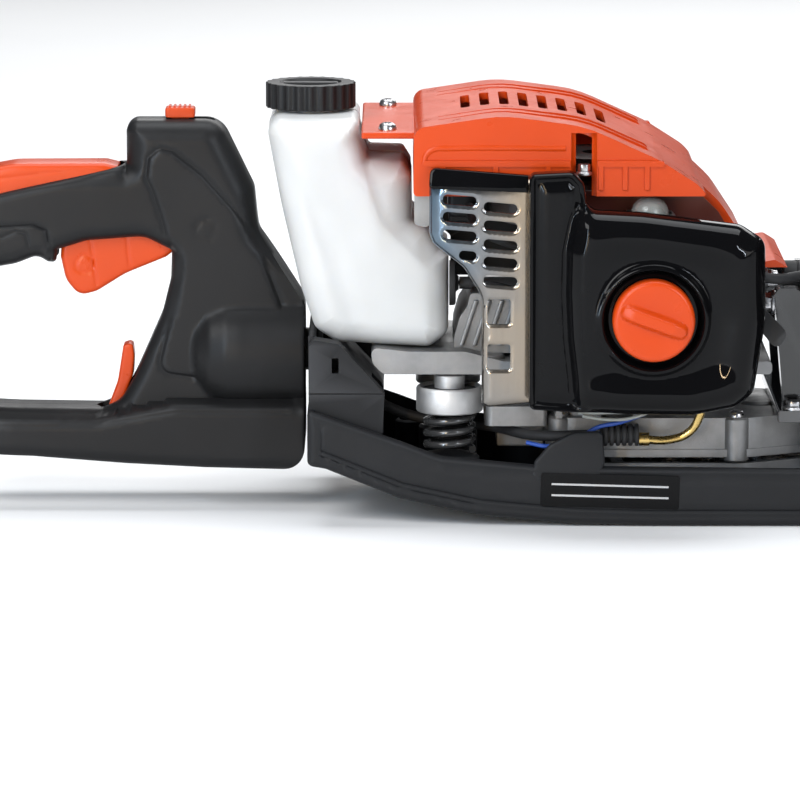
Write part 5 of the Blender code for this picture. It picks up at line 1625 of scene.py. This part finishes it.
cable = tube(
    "throttle_wire",
    [(-48, 0, PIVOT_Z), (6, 0, PIVOT_Z), (14, -1, 68), (26, -5, 54), (46, -14, 44), (86, -26, 40),
        (108, -50, 40),
     (134.5, -53.5, 41)],
    2.4, 4,
)
place(cable, "black_rubber", "chassis", ["throttle_cable"], angle=60)
boot_ribs = [(0, 154), (4.8, 154)]
for k in range(6):
    x = 154 - 2.9 * k
    boot_ribs += [(5.2, x - 0.4), (5.2, x - 1.4), (4.8, x - 1.8), (3.9, x - 1.9), (3.9, x - 2.6),
        (4.8, x - 2.8)]
boot = lathe("ribbed_boot", boot_ribs + [(4.0, 136.2), (3.6, 136), (0, 136)], (0, -53.5, 41), "X", 48)
place(boot, "black_rubber", "chassis", ["cable_boot"])
elbow = tube(
    "bent_tube",
    [(154.4, -53.5, 39), (168, -53.5, 38.6), (177, -54, 42), (182, -56, 50), (184, -60, 66), (184, -62, 76)],
    2.0, 4
)
place(elbow, "yellow_zinc", "chassis", ["cable_tube"], angle=60)
ferrule = lathe("tube_ferrule", [(2.0, 154.3), (3.1, 154.3), (3.1, 159), (2.0, 159)], (0, -53.5, 38.9), "X",
    closed=True)
place(ferrule, "yellow_zinc")
thin = [
    tube("wire_a", [(128, -56, 50.2), (140, -58.5, 49), (152, -60, 50.4), (162, -58, 55), (165, -52, 60)],
        0.8, 3),
    tube("wire_b", [(126, -54, 51.4), (140, -57, 52), (154, -58.4, 54), (160, -55, 59)], 0.8, 3),
]
place(grouped("stop_wires", thin), "pale_wire", angle=60)
place(tube("stop_wire_blue", [(102, -57, 38), (112, -58, 36.4), (124, -57.4, 38), (134, -56.6, 44.6), (146,
                -57, 47.6), (160, -53, 52)], 1.0, 3), "blue_wire", angle=60)


# ------------------------------------ frame nodes that keep their own shapes

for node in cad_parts.values():
    for held in node.material_slots:
        name = held.material.name.split(".")[0] if held.material else "cast_aluminium"
        if name in LOOKS:
            held.material = LOOKS[name]


# ------------------------------------------------------- studio and camera

VIEW_ELEVATION = radians(10)
VIEW_DISTANCE = 2.5
LENS = 244.6
AIM = Vector((ORIGIN.x + 43.7 * MM, hull_low[1], ORIGIN.z + 59.3 * MM))

floor_mesh = bpy.data.meshes.new("studio_floor")
floor_mesh.from_pydata([(-6, -6, 0), (6, -6, 0), (6, 6, 0), (-6, 6, 0)], [], [(0, 1, 2, 3)])
floor = bpy.data.objects.new("studio_floor", floor_mesh)
bpy.context.scene.collection.objects.link(floor)
floor.location.z = cad_box[0][2] - 0.4 * MM
paint = Nodes("finish_floor")
paint.link(paint.colours(paint.noise(3), (0.3, (0.89, 0.89, 0.89)), (0.7, (0.91, 0.91, 0.91))),
    paint.shader.inputs["Base Color"])
paint.set(roughness=0.9, specular_ior_level=0.1)
floor_mesh.materials.append(paint.material)

world = bpy.data.worlds.new("studio")
world.use_nodes = True
sky = world.node_tree
sky.nodes["Background"].inputs["Color"].default_value = (0.30, 0.32, 0.35, 1)
sky.nodes["Background"].inputs["Strength"].default_value = 0.25
white = sky.nodes.new("ShaderNodeBackground")
white.inputs["Color"].default_value = (1, 1, 1, 1)
white.inputs["Strength"].default_value = 6.0
path = sky.nodes.new("ShaderNodeLightPath")
choice = sky.nodes.new("ShaderNodeMixShader")
sky.links.new(path.outputs["Is Camera Ray"], choice.inputs["Fac"])
sky.links.new(sky.nodes["Background"].outputs["Background"], choice.inputs[1])
sky.links.new(white.outputs["Background"], choice.inputs[2])
sky.links.new(choice.outputs["Shader"], sky.nodes["World Output"].inputs["Surface"])
bpy.context.scene.world = world


def softbox(name, at, aim, width, height, power, colour=(1, 1, 1)):
    """A rectangular studio light at a place, turned to a point, both in metres."""
    lamp = bpy.data.lights.new(name, "AREA")
    lamp.shape = "RECTANGLE"
    lamp.size = width
    lamp.size_y = height
    lamp.energy = power
    lamp.color = colour
    holder = bpy.data.objects.new(name, lamp)
    holder.location = at
    holder.rotation_euler = (Vector(aim) - Vector(at)).to_track_quat("-Z", "Y").to_euler()
    bpy.context.scene.collection.objects.link(holder)


softbox("key", (-1.6, -1.9, 2.0), (-0.2, 0, 0.1), 1.6, 1.2, 54)
softbox("fill", (1.9, -2.2, 1.1), (-0.1, 0, 0.1), 0.9, 1.4, 15, (1.0, 0.97, 0.93))
softbox("top", (-0.1, 0.3, 2.2), (-0.1, 0, 0.1), 2.2, 1.2, 46, (0.94, 0.97, 1.0))
softbox("back", (0.4, 2.4, 1.5), (0, 0, 0.1), 2.4, 1.0, 34)
softbox("right_strip", (0.75, -1.5, 0.75), (-0.12, -0.09, 0.10), 0.035, 0.8, 9, (0.80, 0.88, 1.0))
softbox("blue_strip", (-1.05, -1.5, 0.45), (-0.12, -0.09, 0.10), 0.05, 1.0, 13, (0.62, 0.80, 1.0))
softbox("warm_strip", (-0.72, -1.65, 0.25), (-0.12, -0.09, 0.10), 0.02, 0.7, 6, (1.0, 0.74, 0.45))

camera = bpy.data.objects.new("camera", bpy.data.cameras.new("camera"))
camera.data.lens = LENS
camera.data.clip_end = 20
camera.location = AIM + VIEW_DISTANCE * Vector((0, -cos(VIEW_ELEVATION), sin(VIEW_ELEVATION)))
camera.rotation_euler = (pi / 2 - VIEW_ELEVATION, 0, 0)
bpy.context.scene.collection.objects.link(camera)
bpy.context.scene.camera = camera
bpy.context.scene.view_settings.view_transform = "Standard"

bpy.context.view_layer.update()
